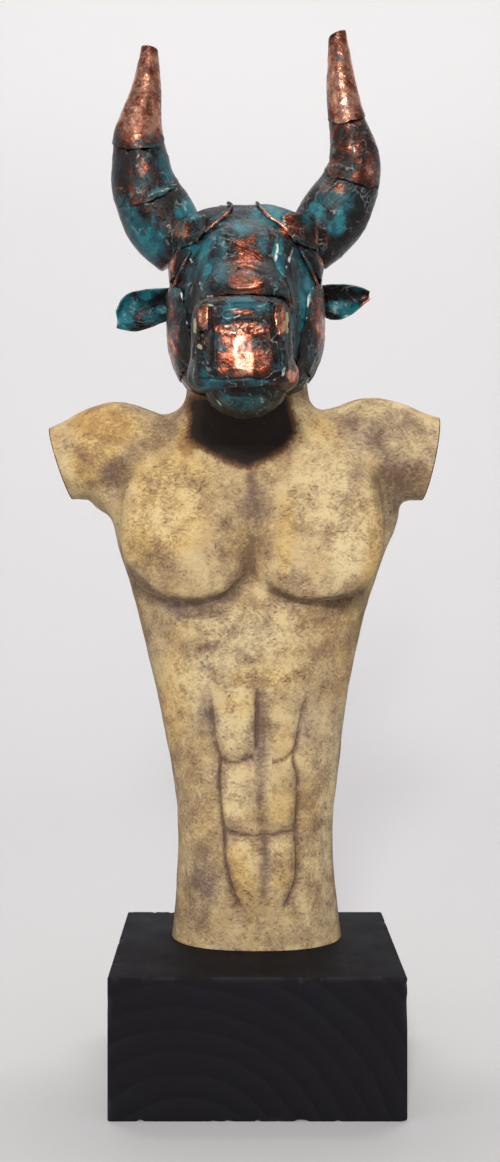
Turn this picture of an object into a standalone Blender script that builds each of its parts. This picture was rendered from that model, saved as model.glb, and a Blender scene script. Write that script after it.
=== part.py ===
"""A minotaur statue: a plaster man's torso with sawn-off arms, a bull's head of soldered copper sheet
with horns, ears and wire trim, on a block sawn from a softwood beam. Metres, +Z up, origin at the
middle of the block's underside, face towards -Y."""

import math

import bmesh
import bpy
import numpy as np

# Driving sizes of the block and of the whole figure that stands on it, in metres.
PLINTH_WIDTH = 0.200
PLINTH_DEPTH = 0.143
PLINTH_HEIGHT = 0.096
PLINTH_EDGE_ROUND = 0.0012
FIGURE_HEIGHT = 0.6575
FIGURE_CLEARANCE = 0.0003

# Sheet, wire and the seams between them, in metres whatever the figure's height.
SHEET_THICKNESS = 0.0015
WIRE_DIAMETER = 0.0026
SEAM_GAP = 0.0004

# The figure is drawn in millimetres at this height above its own foot, and scaled to FIGURE_HEIGHT.
# Drawn x runs to the viewer's right, y away from the viewer from the plinth's middle, z up from the foot.
DRAWN_HEIGHT = 657.5
GROOVE_RADIUS = 3.0
GROOVE_DEPTH = 1.7

# The trunk's outline and depth at heights above the foot: (height, left side, right side, front, back).
TRUNK_SECTIONS = (
    (0, -62, 63.5, -20.5, 61),
    (32, -59.5, 60, -20, 60),
    (62, -58, 57.5, -20, 60),
    (92, -58.8, 58, -20.5, 60),
    (126, -63, 62, -22, 61),
    (158, -69, 65.5, -23.5, 63),
    (203, -79.3, 73.5, -26, 68),
    (248, -90.3, 84.3, -28, 72),
    (285, -101.5, 97.5, -30, 74),
    (300, -105.2, 104, -30, 74),
    (322, -110.5, 107.5, -30, 74),
    (360, -104, 96, -22, 68),
)
TRUNK_TOP = 352.0
TRUNK_ROUNDNESS = 2.35

# The shoulders, the neck and the muscles of the chest and back, as swollen shapes that melt together.
# Each is its middle and its three radii; a lean moves it forward for each millimetre of height.
YOKE = ((-5, 19, 350), (97, 41, 41))
NECK = ((-6.4, 9, 380), (45.5, 38.5, 72))
NECK_LEAN = 0.16
SHOULDERS = (
    ((-103, 18, 358.5), (42, 34, 34.2)),
    ((85, 18, 361.5), (46, 34, 35.5)),
)
CHEST_MUSCLES = (
    ((-48, -20, 303), (48.5, 21, 54)),
    ((41, -20, 303), (50, 21, 54)),
)
CHEST_LEAN = 0.17
SHOULDER_BLADES = (
    ((-46, 58, 310), (36, 20, 44)),
    ((36, 58, 310), (36, 20, 44)),
)

# The fold of muscle behind the left armpit.
ARMPIT_FOLD = ((-105, 20, 322.5), (16, 22, 10.5))

# Each arm's start, way, radius and taper, and where it is sawn off: a point of the cut and the cut's normal.
ARMS = (
    ((-103, 18, 358.5), (-0.976, 0.0, -0.216), 35.4, 0.17),
    ((88, 18, 358), (0.991, 0.0, -0.132), 36.9, 0.13),
)
ARM_DEPTH_SHARE = 0.88
ARM_CUTS = (
    ((-144.5, 18, 349.3), (-0.954, 0.0, -0.300)),
    ((129.9, 18, 352.4), (0.981, 0.0, -0.193)),
)

# The torso's rings: (share of them, height of the axis that the rays start from, tilt of the rays in degrees
# to the front and to the sides and back). The dips look under the chest and into the armpits.
RAY_PLAN = (
    (0.0, 0, 0, 0),
    (0.22, 224, 0, 0),
    (0.50, 290, -36, -8),
    (0.64, 354, -20, -20),
    (1.0, 354, 66, 66),
)
ARM_FLOOR = 262.0

# Where the belly's muscles are parted: each groove's (x, height) points from its first end to its last.
BELLY_GROOVES = (
    ((-32.5, 185), (-31.5, 171), (-31, 153), (-28, 141), (-25, 134), (-18, 131.5), (-9.5, 134), (-4, 137)),
    ((37.5, 183), (35.5, 170), (32, 155), (28, 143), (21.5, 136), (15, 133), (8, 133)),
    ((-25, 131), (-27, 123), (-26.5, 108), (-25.5, 93), (-22, 86.5), (-12, 84), (0, 82)),
    ((28, 135), (31, 125), (30.5, 108), (29, 92), (27.5, 85), (14, 81.5), (6, 82)),
    ((-24, 81), (-22.5, 66), (-18.5, 47), (-14, 35), (-10, 27.5)),
    ((29, 81), (31.5, 71), (30, 56), (27.5, 42.5), (21.5, 29)),
    ((1, 186), (0.5, 160), (2, 133), (3.5, 108), (4.5, 84), (5, 62), (5, 46)),
)

# The bull's head, drawn about its own midline, which stands at HEAD_X on the figure.
HEAD_X = -7.7
HEAD_MIDDLE = (0, -30, 455)
HEAD_SHAPES = (
    ((0, -3, 493), (52, 44, 37), 3.0, 8),
    ((0, 22, 470), (42, 34, 50), 2.3, 14),
    ((-29, -12, 451), (24.5, 48, 57), 2.3, 8),
    ((29, -12, 451), (24.5, 48, 57), 2.3, 8),
    ((0, -50, 462), (35, 37, 44), 2.6, 12),
    ((0, -76, 430), (32, 34, 40), 2.8, 10),
    ((0, -30, 420), (38, 42, 30), 2.4, 12),
)
MUZZLE_BACK = -84.0
MUZZLE_MIDDLE = (-3, -92, 418)
MUZZLE_SHAPES = (
    ((-3, -94, 419), (32.5, 28, 28), 3.4, 5),
    ((-2, -90, 397), (36, 25, 12), 2.6, 7),
)
JAW_MIDDLE = (0, -73, 393)
JAW_SHAPES = (((0, -73, 393), (29.5, 36, 22.5), 2.4, 5),)
MOUTH_HEIGHT = 387.0

# Plates laid over the head: rows of points near its surface, which are pushed onto it from its middle.
NOSE_NET = (
    ((-12, -50, 504), (-1, -52, 505), (10, -50, 504)),
    ((-14, -66, 490), (-1, -70, 491), (12, -66, 490)),
    ((-19, -80, 472), (-1, -86, 473), (17, -80, 472)),
    ((-27, -88, 456), (-1, -96, 457), (24, -88, 456)),
    ((-30, -94, 447), (-1, -104, 447), (27, -94, 447)),
)
PLATE_ROOT = 2.2
CHEEK_NET = (
    ((-45, -56, 462), (-58, -40, 470), (-60, -18, 474), (-58, 4, 474)),
    ((-43, -60, 442), (-60, -42, 446), (-62, -18, 448), (-58, 5, 450)),
    ((-42, -62, 420), (-56, -44, 422), (-58, -20, 424), (-54, 2, 426)),
    ((-39, -58, 403), (-48, -44, 402), (-50, -22, 402), (-48, -2, 404)),
)
CHEEK_BULGE = 1.6
BROW_NET = (
    ((-30, -46, 528), (-42, -34, 530), (-54, -16, 524)),
    ((-34, -50, 514), (-48, -40, 513), (-60, -20, 511)),
    ((-38, -54, 500), (-52, -42, 500), (-62, -24, 500)),
)
BROW_BULGE = 3.2
EYE_NET = (
    ((-41, -56, 494), (-50, -42, 497), (-58, -26, 495)),
    ((-44, -54, 486), (-52, -42, 484), (-60, -24, 486)),
    ((-48, -48, 476), (-54, -40, 473), (-59, -28, 476)),
)
EYE_BULGE = 4.0
EYE_RIM = (
    (-42, -55, 492),
    (-45, -52, 480),
    (-51, -44, 467),
    (-58, -32, 474),
    (-61, -22, 486),
    (-60, -18, 494),
)
LEFT_BROW_WIRE = ((-14, -30, 537), (-11, -40, 531), (-15, -46, 525), (-26, -50, 517), (-34, -52, 512))
RIGHT_BROW_WIRE = ((9, -30, 538), (11, -40, 532), (17, -46, 525), (27, -49, 520), (36, -49, 514))

# Horns: (x, y, height, radius) along each one from the skull to the tip, and where its sheets are joined.
LEFT_HORN = (
    (-52, 0, 502, 22),
    (-67.5, -3, 521, 26.6),
    (-79.6, -7, 544, 23.8),
    (-83, -9, 563, 20.4),
    (-84.4, -10, 580, 17.6),
    (-83, -10, 592, 14.8),
    (-79.4, -10, 611, 10.9),
    (-77.3, -10, 633, 7.4),
    (-76.7, -10, 646.5, 5.8),
)
RIGHT_HORN = (
    (36, 0, 501, 19),
    (46.5, -3, 514, 23),
    (57.6, -6, 529, 24.6),
    (66.5, -8, 546, 21.6),
    (70.7, -9, 561, 18.8),
    (69.1, -10, 575, 16.2),
    (64.6, -10, 595.5, 12.3),
    (61.4, -10, 617, 10.2),
    (59.8, -10, 638, 7.8),
    (58.2, -10, 657, 5.8),
)
LEFT_HORN_JOINTS = (545, 579)
RIGHT_HORN_JOINTS = (553, 596)
HORN_SLEEVE_STEP = 0.5

# Ears: (way along, middle x, y and height, half width) of the cupped leaf from its root to its tip.
LEFT_EAR = (
    (-52, 22, 467, 9),
    (-70, 17, 464, 12.5),
    (-86, 12, 459.5, 14.5),
    (-96, 8, 457.5, 12),
    (-101.5, 6, 453, 6),
)
RIGHT_EAR = (
    (42, 22, 470, 9),
    (57, 17, 467, 12.5),
    (68, 12, 467.5, 11),
    (77, 8, 469.5, 6.5),
    (83, 6, 470.5, 2.5),
)
EAR_CUP = 11.0

PLASTER = ("plaster", (0.62, 0.50, 0.31), 0.85, 0.0)
BLACK_WOOD = ("black_wood", (0.012, 0.011, 0.015), 0.55, 0.0)
BRIGHT_COPPER = ("bright_copper", (0.55, 0.20, 0.11), 0.35, 1.0)
DARK_COPPER = ("dark_copper", (0.07, 0.055, 0.05), 0.5, 0.8)
VERDIGRIS = ("verdigris", (0.02, 0.17, 0.20), 0.7, 0.2)

for old in list(bpy.data.objects):
    bpy.data.objects.remove(old)
statue = bpy.data.collections.new("minotaur_statue")
cutters = bpy.data.collections.new("cutters")
for collection in (statue, cutters):
    bpy.context.scene.collection.children.link(collection)


def material(finish):
    """The Principled material of a finish: its name, colour, roughness and metallic value."""
    name, colour, roughness, metallic = finish
    made = bpy.data.materials.get(name)
    if made is None:
        made = bpy.data.materials.new(name)
        made.use_nodes = True
        shader = made.node_tree.nodes["Principled BSDF"]
        shader.inputs["Base Color"].default_value = (*colour, 1.0)
        shader.inputs["Roughness"].default_value = roughness
        shader.inputs["Metallic"].default_value = metallic
    return made


def drawn(size):
    """A size in metres as drawn millimetres on the figure."""
    return size * DRAWN_HEIGHT / FIGURE_HEIGHT


def to_world(points):
    """Drawn millimetres on the figure to metres in the statue's frame."""
    scale = FIGURE_HEIGHT / DRAWN_HEIGHT
    return np.asarray(points, float) * scale + (0, 0, PLINTH_HEIGHT + FIGURE_CLEARANCE)


def spline(knots, values, at):
    """A smooth curve through values at rising knots: cubic pieces that share their slopes at the knots."""
    knots = np.asarray(knots, float)
    values = np.asarray(values, float)
    at = np.clip(at, knots[0], knots[-1])
    slopes = np.gradient(values, knots, axis=0)
    i = np.clip(np.searchsorted(knots, at, side="right") - 1, 0, len(knots) - 2)
    step = knots[i + 1] - knots[i]
    t = (at - knots[i]) / step
    wide = np.shape(at) + (1,) * (values.ndim - 1)
    t, step = t.reshape(wide), step.reshape(wide)
    a, b, sa, sb = values[i], values[i + 1], slopes[i] * step, slopes[i + 1] * step
    return a + t * sa + t**2 * (3 * (b - a) - 2 * sa - sb) + t**3 * (2 * (a - b) + sa + sb)


def smooth_path(points, count):
    """count points along a smooth curve through the points, evenly spaced by their number."""
    return spline(np.arange(len(points)), points, np.linspace(0, len(points) - 1, count))


def swollen(p, middle, radii, power=2.0):
    """Near distance from points to a superellipsoid: its radial value less one, over that value's slope."""
    radii = np.asarray(radii, float)
    q = np.abs(p - np.asarray(middle, float)) / radii + 1e-6
    total = (q**power).sum(-1)
    slope = total ** (1 / power - 1) * np.sqrt(((q ** (power - 1) / radii) ** 2).sum(-1))
    return (total ** (1 / power) - 1) / slope


def melt(a, b, reach):
    """The union of two distances, with the valley between them filled over the reach."""
    h = np.clip(0.5 + 0.5 * (b - a) / reach, 0, 1)
    return b + (a - b) * h - reach * h * (1 - h)


def limb(p, start, way, radius, taper, depth_share):
    """Near distance to a round arm that narrows by the taper for each millimetre along its way."""
    offset = (p - np.asarray(start, float)) / (1, depth_share, 1)
    along = np.clip((offset * way).sum(-1), 0, None)
    across = offset - along[..., None] * np.asarray(way)
    return np.sqrt((across**2).sum(-1)) - (radius - taper * along)


def trunk(p):
    """Near distance to the trunk: at each height a squarish oval with the listed sides, front and back."""
    sections = np.array(TRUNK_SECTIONS, float)
    left, right, front, back = np.moveaxis(spline(sections[:, 0], sections[:, 1:], p[..., 2]), -1, 0)
    middle = np.stack([(left + right) / 2, (front + back) / 2], -1)
    radii = np.stack([(right - left) / 2, (back - front) / 2], -1)
    q = np.abs(p[..., :2] - middle) / radii + 1e-6
    total = (q**TRUNK_ROUNDNESS).sum(-1)
    slope = total ** (1 / TRUNK_ROUNDNESS - 1) * np.sqrt(((q ** (TRUNK_ROUNDNESS - 1) / radii) ** 2).sum(-1))
    side = (total ** (1 / TRUNK_ROUNDNESS) - 1) / slope
    return np.maximum(side, p[..., 2] - TRUNK_TOP)


def leaning(p, middle, radii, lean, power):
    """Near distance to a swollen shape that leans forward as it rises."""
    shift = lean * (p[..., 2] - middle[2])
    return swollen(p + np.stack([0 * shift, shift, 0 * shift], -1), middle, radii, power)


def torso(p):
    """Near distance to the whole torso: trunk, shoulders, neck, arms and muscles melted together."""
    d = melt(trunk(p), swollen(p, *YOKE, 2.5), 14)
    for shoulder in SHOULDERS:
        d = melt(d, swollen(p, *shoulder), 12)
    for arm in ARMS:
        d = melt(d, limb(p, *arm, ARM_DEPTH_SHARE), 8)
    d = melt(d, swollen(p, *ARMPIT_FOLD), 8)
    d = melt(d, leaning(p, *NECK, NECK_LEAN, 2.6), 14)
    for muscle in SHOULDER_BLADES:
        d = melt(d, swollen(p, *muscle), 12)
    for muscle in CHEST_MUSCLES:
        d = melt(d, leaning(p, *muscle, -CHEST_LEAN, 2.6), 7)
    return d


def blended(shapes):
    """A distance function for shapes given as middle, radii, squareness and reach, melted in turn."""

    def distance(p):
        d = swollen(p, *shapes[0][:3])
        for middle, radii, power, reach in shapes[1:]:
            d = melt(d, swollen(p, middle, radii, power), reach)
        return d

    return distance


def cast(distance, origins, ways, reach, steps=48):
    """Where each ray leaves a shape: the outermost step that is still inside it, refined by halving."""
    origins, ways = np.broadcast_arrays(np.asarray(origins, float), ways)
    far = np.linspace(0, reach, steps)
    inside = np.stack([distance(origins + t * ways) < 0 for t in far])
    last = steps - 1 - np.argmax(inside[::-1], axis=0)
    low = far[np.minimum(last, steps - 2)]
    high = low + far[1]
    for _ in range(18):
        middle = (low + high) / 2
        within = distance(origins + middle[..., None] * ways) < 0
        low, high = np.where(within, middle, low), np.where(within, high, middle)
    return origins + ((low + high) / 2)[..., None] * ways


def ways_of(azimuth, elevation):
    """Unit directions: azimuth turns from the viewer's right, +X, through the back, +Y."""
    flat = np.cos(elevation)
    rise = np.sin(elevation) + 0 * azimuth
    return np.stack([flat * np.cos(azimuth), flat * np.sin(azimuth), rise], -1)


def add_object(name, mesh, finish, where=statue):
    """An object of a mesh in its collection, with its finish."""
    made = bpy.data.objects.new(name, mesh)
    mesh.materials.append(material(finish))
    where.objects.link(made)
    return made


def mesh_of_rings(name, rings, caps=(True, True)):
    """A mesh over closed rings of points, one ring after another, with flat caps where asked."""
    count, around = rings.shape[:2]
    at = np.arange(count * around).reshape(count, around)
    nxt = np.roll(at, -1, axis=1)
    faces = np.stack([at[:-1], nxt[:-1], nxt[1:], at[1:]], -1).reshape(-1, 4).tolist()
    if caps[0]:
        faces.append(at[0, ::-1].tolist())
    if caps[1]:
        faces.append(at[-1].tolist())
    mesh = bpy.data.meshes.new(name)
    mesh.from_pydata(to_world(rings.reshape(-1, 3)).tolist(), [], faces)
    return mesh


def tidy(mesh):
    """Merges doubled corners, leaves flat faces that point outwards, and shades them smooth up to edges."""
    bm = bmesh.new()
    bm.from_mesh(mesh)
    bmesh.ops.remove_doubles(bm, verts=bm.verts, dist=0.00002)
    bmesh.ops.dissolve_degenerate(bm, edges=bm.edges, dist=0.00001)
    bmesh.ops.triangulate(bm, faces=bm.faces, quad_method="SHORT_EDGE")
    bmesh.ops.recalc_face_normals(bm, faces=bm.faces)
    bm.to_mesh(mesh)
    bm.free()
    mesh.shade_smooth()
    mesh.set_sharp_from_angle(angle=math.radians(40))


def saw(mesh, point, normal, floor=0.0):
    """Cuts away what lies beyond a plane through a drawn point, above a height, and closes the cut flat."""
    bm = bmesh.new()
    bm.from_mesh(mesh)
    low = to_world((0, 0, floor))[2]
    near = [f for f in bm.faces if min(v.co.z for v in f.verts) >= low]
    edges = {e for f in near for e in f.edges}
    corners = {v for f in near for v in f.verts}
    bmesh.ops.bisect_plane(
        bm, geom=[*corners, *edges, *near], plane_co=to_world(point), plane_no=normal, clear_outer=True
    )
    bmesh.ops.holes_fill(bm, edges=[e for e in bm.edges if e.is_boundary], sides=0)
    bm.to_mesh(mesh)
    bm.free()


def as_mesh(shape):
    """Replaces a curve, or an object with modifiers, by its evaluated mesh under the same name."""
    graph = bpy.context.evaluated_depsgraph_get()
    mesh = bpy.data.meshes.new_from_object(shape.evaluated_get(graph))
    mesh.transform(shape.matrix_world)
    name, where = shape.name, shape.users_collection[0]
    bpy.data.objects.remove(shape)
    made = bpy.data.objects.new(name, mesh)
    where.objects.link(made)
    tidy(mesh)
    return made


def cutter_of(piece, gap):
    """A hidden copy of a piece with each corner moved out along its normal by the gap."""
    bpy.context.view_layer.update()
    mesh = piece.data.copy()
    normals = [v.normal.copy() for v in mesh.vertices]
    for vertex, normal in zip(mesh.vertices, normals):
        vertex.co += normal * gap
    made = bpy.data.objects.new(piece.name + "_cutter", mesh)
    cutters.objects.link(made)
    made.hide_render = True
    made.display_type = "WIRE"
    return made


def boolean(piece, cutter):
    """Cuts a piece by a cutter and keeps only its largest body."""
    cut = piece.modifiers.new("cut", "BOOLEAN")
    cut.operation = "DIFFERENCE"
    cut.object = cutter
    done = as_mesh(piece)
    keep_largest(done.data)
    return done


def keep_largest(mesh):
    """Deletes every loose body but the one with the most corners."""
    bm = bmesh.new()
    bm.from_mesh(mesh)
    left, bodies = set(bm.verts), []
    while left:
        body, front = set(), [left.pop()]
        while front:
            vertex = front.pop()
            body.add(vertex)
            near = {e.other_vert(vertex) for e in vertex.link_edges} & left
            left -= near
            front += near
        bodies.append(body)
    bodies.sort(key=len)
    for body in bodies[:-1]:
        bmesh.ops.delete(bm, geom=list(body), context="VERTS")
    bm.to_mesh(mesh)
    bm.free()


def seat(piece, *neighbours):
    """Trims a piece to the pieces it is fixed to, leaving the seam's gap."""
    for neighbour in neighbours:
        piece = boolean(piece, cutter_of(neighbour, SEAM_GAP))
    return piece


def star(name, shape, middle, finish, around, levels, low=-90, high=90, reach=130):
    """A closed body seen from its own middle: rays at even angles, each ending where it leaves the shape."""
    azimuth = np.arange(around) / around * 2 * np.pi
    elevation = np.radians(np.linspace(low, high, levels))[:, None]
    rings = cast(shape, middle, ways_of(azimuth, elevation), reach)
    mesh = mesh_of_rings(name, rings + (HEAD_X, 0, 0))
    tidy(mesh)
    return add_object(name, mesh, finish)


def plate(name, net, finish, size, bulge=0.0, mirrored=False):
    """A sheet for the head: a net of points pushed onto it, rooted a little below, swelling mid-way."""
    net = np.array(net, float)
    if mirrored:
        net[..., 0] *= -1
    rows = smooth_path(net, size[0])
    grid = np.swapaxes(smooth_path(np.swapaxes(rows, 0, 1), size[1]), 0, 1)
    middle = np.array(HEAD_MIDDLE, float)
    ways = grid - middle
    ways /= np.linalg.norm(ways, axis=-1, keepdims=True)
    surface = cast(blended(HEAD_SHAPES), middle, ways, 130)
    under = surface - ways * PLATE_ROOT
    u = np.linspace(-1, 1, size[0])[:, None]
    v = np.linspace(-1, 1, size[1])
    swell = drawn(SEAM_GAP + SHEET_THICKNESS) + bulge * (1 - u**2) * (1 - v**2)
    over = surface + ways * swell[..., None]
    edge = [(0, j) for j in range(size[1])]
    edge += [(i, size[1] - 1) for i in range(1, size[0])]
    edge += [(size[0] - 1, j) for j in range(size[1] - 2, -1, -1)]
    edge += [(i, 0) for i in range(size[0] - 2, 0, -1)]
    at = np.arange(size[0] * size[1]).reshape(size)
    quads = np.stack([at[:-1, :-1], at[:-1, 1:], at[1:, 1:], at[1:, :-1]], -1).reshape(-1, 4)
    rim = np.array([at[i, j] for i, j in edge])
    far = rim + at.size
    walls = np.stack([rim, np.roll(rim, -1), np.roll(far, -1), far], -1)
    faces = np.concatenate([quads, quads[:, ::-1] + at.size, walls]).tolist()
    points = np.concatenate([under.reshape(-1, 3), over.reshape(-1, 3)]) + (HEAD_X, 0, 0)
    mesh = bpy.data.meshes.new(name)
    mesh.from_pydata(to_world(points).tolist(), [], faces)
    tidy(mesh)
    return add_object(name, mesh, finish)


def tube(name, points, radii, finish, sides=2, where=statue):
    """A round bar along drawn points, with its own radius at each and closed ends."""
    curve = bpy.data.curves.new(name, "CURVE")
    curve.dimensions = "3D"
    curve.bevel_depth = FIGURE_HEIGHT / DRAWN_HEIGHT
    curve.bevel_resolution = sides
    curve.use_fill_caps = True
    line = curve.splines.new("POLY")
    line.points.add(len(points) - 1)
    for knot, place, radius in zip(line.points, to_world(points), radii):
        knot.co = (*place, 1.0)
        knot.radius = radius
    made = bpy.data.objects.new(name, curve)
    where.objects.link(made)
    curve.materials.append(material(finish))
    return as_mesh(made)


def wire_on_head(name, points, finish, count, mirrored=False):
    """A wire let a little into the solder on the head, its middle a third of its diameter above it."""
    path = smooth_path(np.array(points, float) * ((-1, 1, 1) if mirrored else (1, 1, 1)), count)
    middle = np.array(HEAD_MIDDLE, float)
    ways = path - middle
    ways /= np.linalg.norm(ways, axis=-1, keepdims=True)
    lift = drawn(WIRE_DIAMETER / 3 + SEAM_GAP)
    path = cast(blended(HEAD_SHAPES), middle, ways, 130) + ways * lift + (HEAD_X, 0, 0)
    return tube(name, path, np.full(count, drawn(WIRE_DIAMETER) / 2), finish, sides=1)


def make_plinth():
    """The block, a short length of beam with its corners just broken."""
    bm = bmesh.new()
    bmesh.ops.create_cube(bm, size=1.0)
    bmesh.ops.scale(bm, vec=(PLINTH_WIDTH, PLINTH_DEPTH, PLINTH_HEIGHT), verts=bm.verts)
    bmesh.ops.translate(bm, vec=(0, 0, PLINTH_HEIGHT / 2), verts=bm.verts)
    mesh = bpy.data.meshes.new("plinth")
    bm.to_mesh(mesh)
    bm.free()
    block = add_object("plinth", mesh, BLACK_WOOD)
    corners = block.modifiers.new("broken_corners", "BEVEL")
    corners.width = PLINTH_EDGE_ROUND
    corners.segments = 2
    return block


def belly_front(x, height):
    """Where the torso's front lies at a place on the belly."""
    p = np.stack([x, 0 * x + 20, height], -1)
    return cast(torso, p, np.broadcast_to((0.0, -1.0, 0.0), p.shape), 100)


def make_torso(around=40, levels=35):
    """The plaster torso, by rays from its axis that dip below the chest and arms, then fan out upwards."""
    share, height, front_tilt, side_tilt = np.array(RAY_PLAN).T
    at = np.linspace(0, 1, levels)
    heights = np.interp(at, share, height)
    azimuth = np.arange(around) / around * 2 * np.pi
    fore = np.clip(0.5 - 0.9 * np.sin(azimuth), 0, 1) ** 2
    tilts = [np.interp(at, share, tilt)[:, None] for tilt in (side_tilt, front_tilt)]
    tilt = tilts[0] * (1 - fore) + tilts[1] * fore
    origins = np.stack([0 * heights - 2, 0 * heights + 20, heights], -1)[:, None]
    rings = cast(torso, origins, ways_of(azimuth, np.radians(tilt)), 200)
    mesh = mesh_of_rings("torso", rings, caps=(True, True))
    tidy(mesh)
    for point, normal in ARM_CUTS:
        saw(mesh, point, normal, ARM_FLOOR)
    tidy(mesh)
    body = add_object("torso", mesh, PLASTER)
    for number, groove in enumerate(BELLY_GROOVES):
        line = smooth_path(np.array(groove, float), len(groove) + 3)
        path = belly_front(line[:, 0], line[:, 1]) - (0, GROOVE_RADIUS - GROOVE_DEPTH, 0)
        fade = np.clip(np.minimum(np.arange(len(path)), np.arange(len(path))[::-1]) / 2 + 0.55, 0, 1)
        cutter = tube(f"groove_{number}", path, GROOVE_RADIUS * fade, PLASTER, sides=1, where=cutters)
        cutter.hide_render = True
        cutter.display_type = "WIRE"
        body = boolean(body, cutter)
    return body


def make_horn(side, path, joints, head):
    """A horn of three rolled sheets, each sleeved a little over the one below it."""
    path = np.array(path, float)
    names = ("base", "middle", "tip")
    finishes = (VERDIGRIS, DARK_COPPER, BRIGHT_COPPER)
    edges = (path[0, 2], *joints, path[-1, 2])
    pieces = []
    for number, name in enumerate(names):
        low = edges[number] + (drawn(SEAM_GAP) if number else 0)
        knots = spline(path[:, 2], np.arange(len(path)), np.array([low, edges[number + 1]]))
        line = spline(np.arange(len(path)), path, np.linspace(*knots, 5 if number else 6))
        step = HORN_SLEEVE_STEP * number * np.linspace(1, 0.3, len(line))
        piece = tube(f"{side}_horn_{name}", line[:, :3], line[:, 3] + step, finishes[number])
        pieces.append(piece)
    pieces[0] = seat(pieces[0], head)
    pieces[1] = seat(pieces[1], pieces[0])
    pieces[2] = seat(pieces[2], pieces[1])
    return pieces


def make_ear(name, path, *neighbours):
    """An ear: a leaf of sheet, cupped so that its hollow faces the viewer, fixed to the head's side."""
    path = smooth_path(np.array(path, float), 7)
    across = np.linspace(-1, 1, 5)
    u = np.linspace(0, 1, len(path))[:, None]
    x = path[:, :1] + 0 * across
    z = path[:, 2:3] + path[:, 3:] * across
    y = path[:, 1:2] - EAR_CUP * across**2 * (1 - 0.55 * u)
    grid = np.stack([x, y, z], -1)
    at = np.arange(grid[..., 0].size).reshape(grid.shape[:2])
    quads = np.stack([at[:-1, :-1], at[:-1, 1:], at[1:, 1:], at[1:, :-1]], -1).reshape(-1, 4)
    mesh = bpy.data.meshes.new(name)
    mesh.from_pydata(to_world(grid.reshape(-1, 3)).tolist(), [], quads.tolist())
    leaf = add_object(name, mesh, VERDIGRIS)
    sheet = leaf.modifiers.new("sheet", "SOLIDIFY")
    sheet.thickness = SHEET_THICKNESS
    sheet.offset = 0.0
    return seat(as_mesh(leaf), *neighbours)


def make_head(body):
    """The copper head: skull, muzzle and lower jaw, then the plates, eyes and wires that lie on them."""
    skull = star("head", blended(HEAD_SHAPES), HEAD_MIDDLE, DARK_COPPER, 30, 17)
    saw(skull.data, (0, MUZZLE_BACK, 0), (0, -1, 0))
    tidy(skull.data)
    jaw = star("lower_jaw", blended(JAW_SHAPES), JAW_MIDDLE, VERDIGRIS, 20, 12, reach=80)
    skull = seat(skull, body, jaw)
    muzzle = star("muzzle", blended(MUZZLE_SHAPES), MUZZLE_MIDDLE, BRIGHT_COPPER, 22, 12, reach=80)
    saw(muzzle.data, (0, MUZZLE_BACK - drawn(SEAM_GAP), 0), (0, 1, 0))
    saw(muzzle.data, (0, 0, MOUTH_HEIGHT), (0, 0, -1))
    tidy(muzzle.data)
    muzzle = seat(muzzle, jaw)
    seat(plate("nose_bridge", NOSE_NET, BRIGHT_COPPER, (11, 7)), skull, muzzle)
    for side, mirrored in (("left", False), ("right", True)):
        horn = (LEFT_HORN, LEFT_HORN_JOINTS) if side == "left" else (RIGHT_HORN, RIGHT_HORN_JOINTS)
        base = make_horn(side, *horn, skull)[0]
        rim = wire_on_head(f"{side}_eye_rim", EYE_RIM, DARK_COPPER, 8, mirrored)
        rim = seat(rim, skull, base)
        cheek = plate(f"{side}_cheek", CHEEK_NET, DARK_COPPER, (7, 7), CHEEK_BULGE, mirrored)
        cheek = seat(cheek, skull, body, rim)
        brow = plate(f"{side}_brow", BROW_NET, BRIGHT_COPPER, (5, 5), BROW_BULGE, mirrored)
        brow = seat(brow, skull, base, rim)
        eye = plate(f"{side}_eye", EYE_NET, BRIGHT_COPPER, (5, 5), EYE_BULGE, mirrored)
        seat(eye, skull, brow, cheek, base, rim)
        make_ear(f"{side}_ear", LEFT_EAR if side == "left" else RIGHT_EAR, skull)
    for side, points in (("left", LEFT_BROW_WIRE), ("right", RIGHT_BROW_WIRE)):
        wire = wire_on_head(f"{side}_brow_wire", points, BRIGHT_COPPER, 10)
        seat(wire, skull, bpy.data.objects[f"{side}_brow"])


make_plinth()
make_head(make_torso())
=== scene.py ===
"""The looks of a minotaur statue: a plaster man's torso with sawn-off arms, a bull's head of soldered
copper sheet with horns, ears and wire trim, on a block sawn from a softwood beam and stained black."""

import bmesh
import bpy
import numpy as np
from mathutils import Matrix, Vector


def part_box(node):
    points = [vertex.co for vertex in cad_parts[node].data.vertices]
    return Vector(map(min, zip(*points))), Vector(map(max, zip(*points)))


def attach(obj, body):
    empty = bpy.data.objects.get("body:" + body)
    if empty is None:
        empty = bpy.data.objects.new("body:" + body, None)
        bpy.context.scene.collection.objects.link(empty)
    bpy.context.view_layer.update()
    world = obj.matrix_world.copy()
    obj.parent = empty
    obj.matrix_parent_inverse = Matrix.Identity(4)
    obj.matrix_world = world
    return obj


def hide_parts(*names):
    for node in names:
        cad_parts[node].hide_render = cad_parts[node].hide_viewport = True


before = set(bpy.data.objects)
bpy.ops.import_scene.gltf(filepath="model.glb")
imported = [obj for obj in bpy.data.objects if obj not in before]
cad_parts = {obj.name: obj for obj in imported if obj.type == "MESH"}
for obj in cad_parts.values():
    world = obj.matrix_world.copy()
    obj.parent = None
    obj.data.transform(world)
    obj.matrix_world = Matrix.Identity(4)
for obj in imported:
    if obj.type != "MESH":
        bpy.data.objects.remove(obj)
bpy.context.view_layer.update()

# The block: a short length of softwood beam, sawn square, stained black so that the stain soaks deep into
# the end grain at the front and back, with knocked corners. The growth rings still show through the stain.
BLOCK_LOW, BLOCK_HIGH = (np.array(corner) * 1000 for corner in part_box("plinth"))
BLOCK_CORNER = 1.2
BLOCK_SIDE_POINTS = (150, 100, 150, 100)
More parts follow.
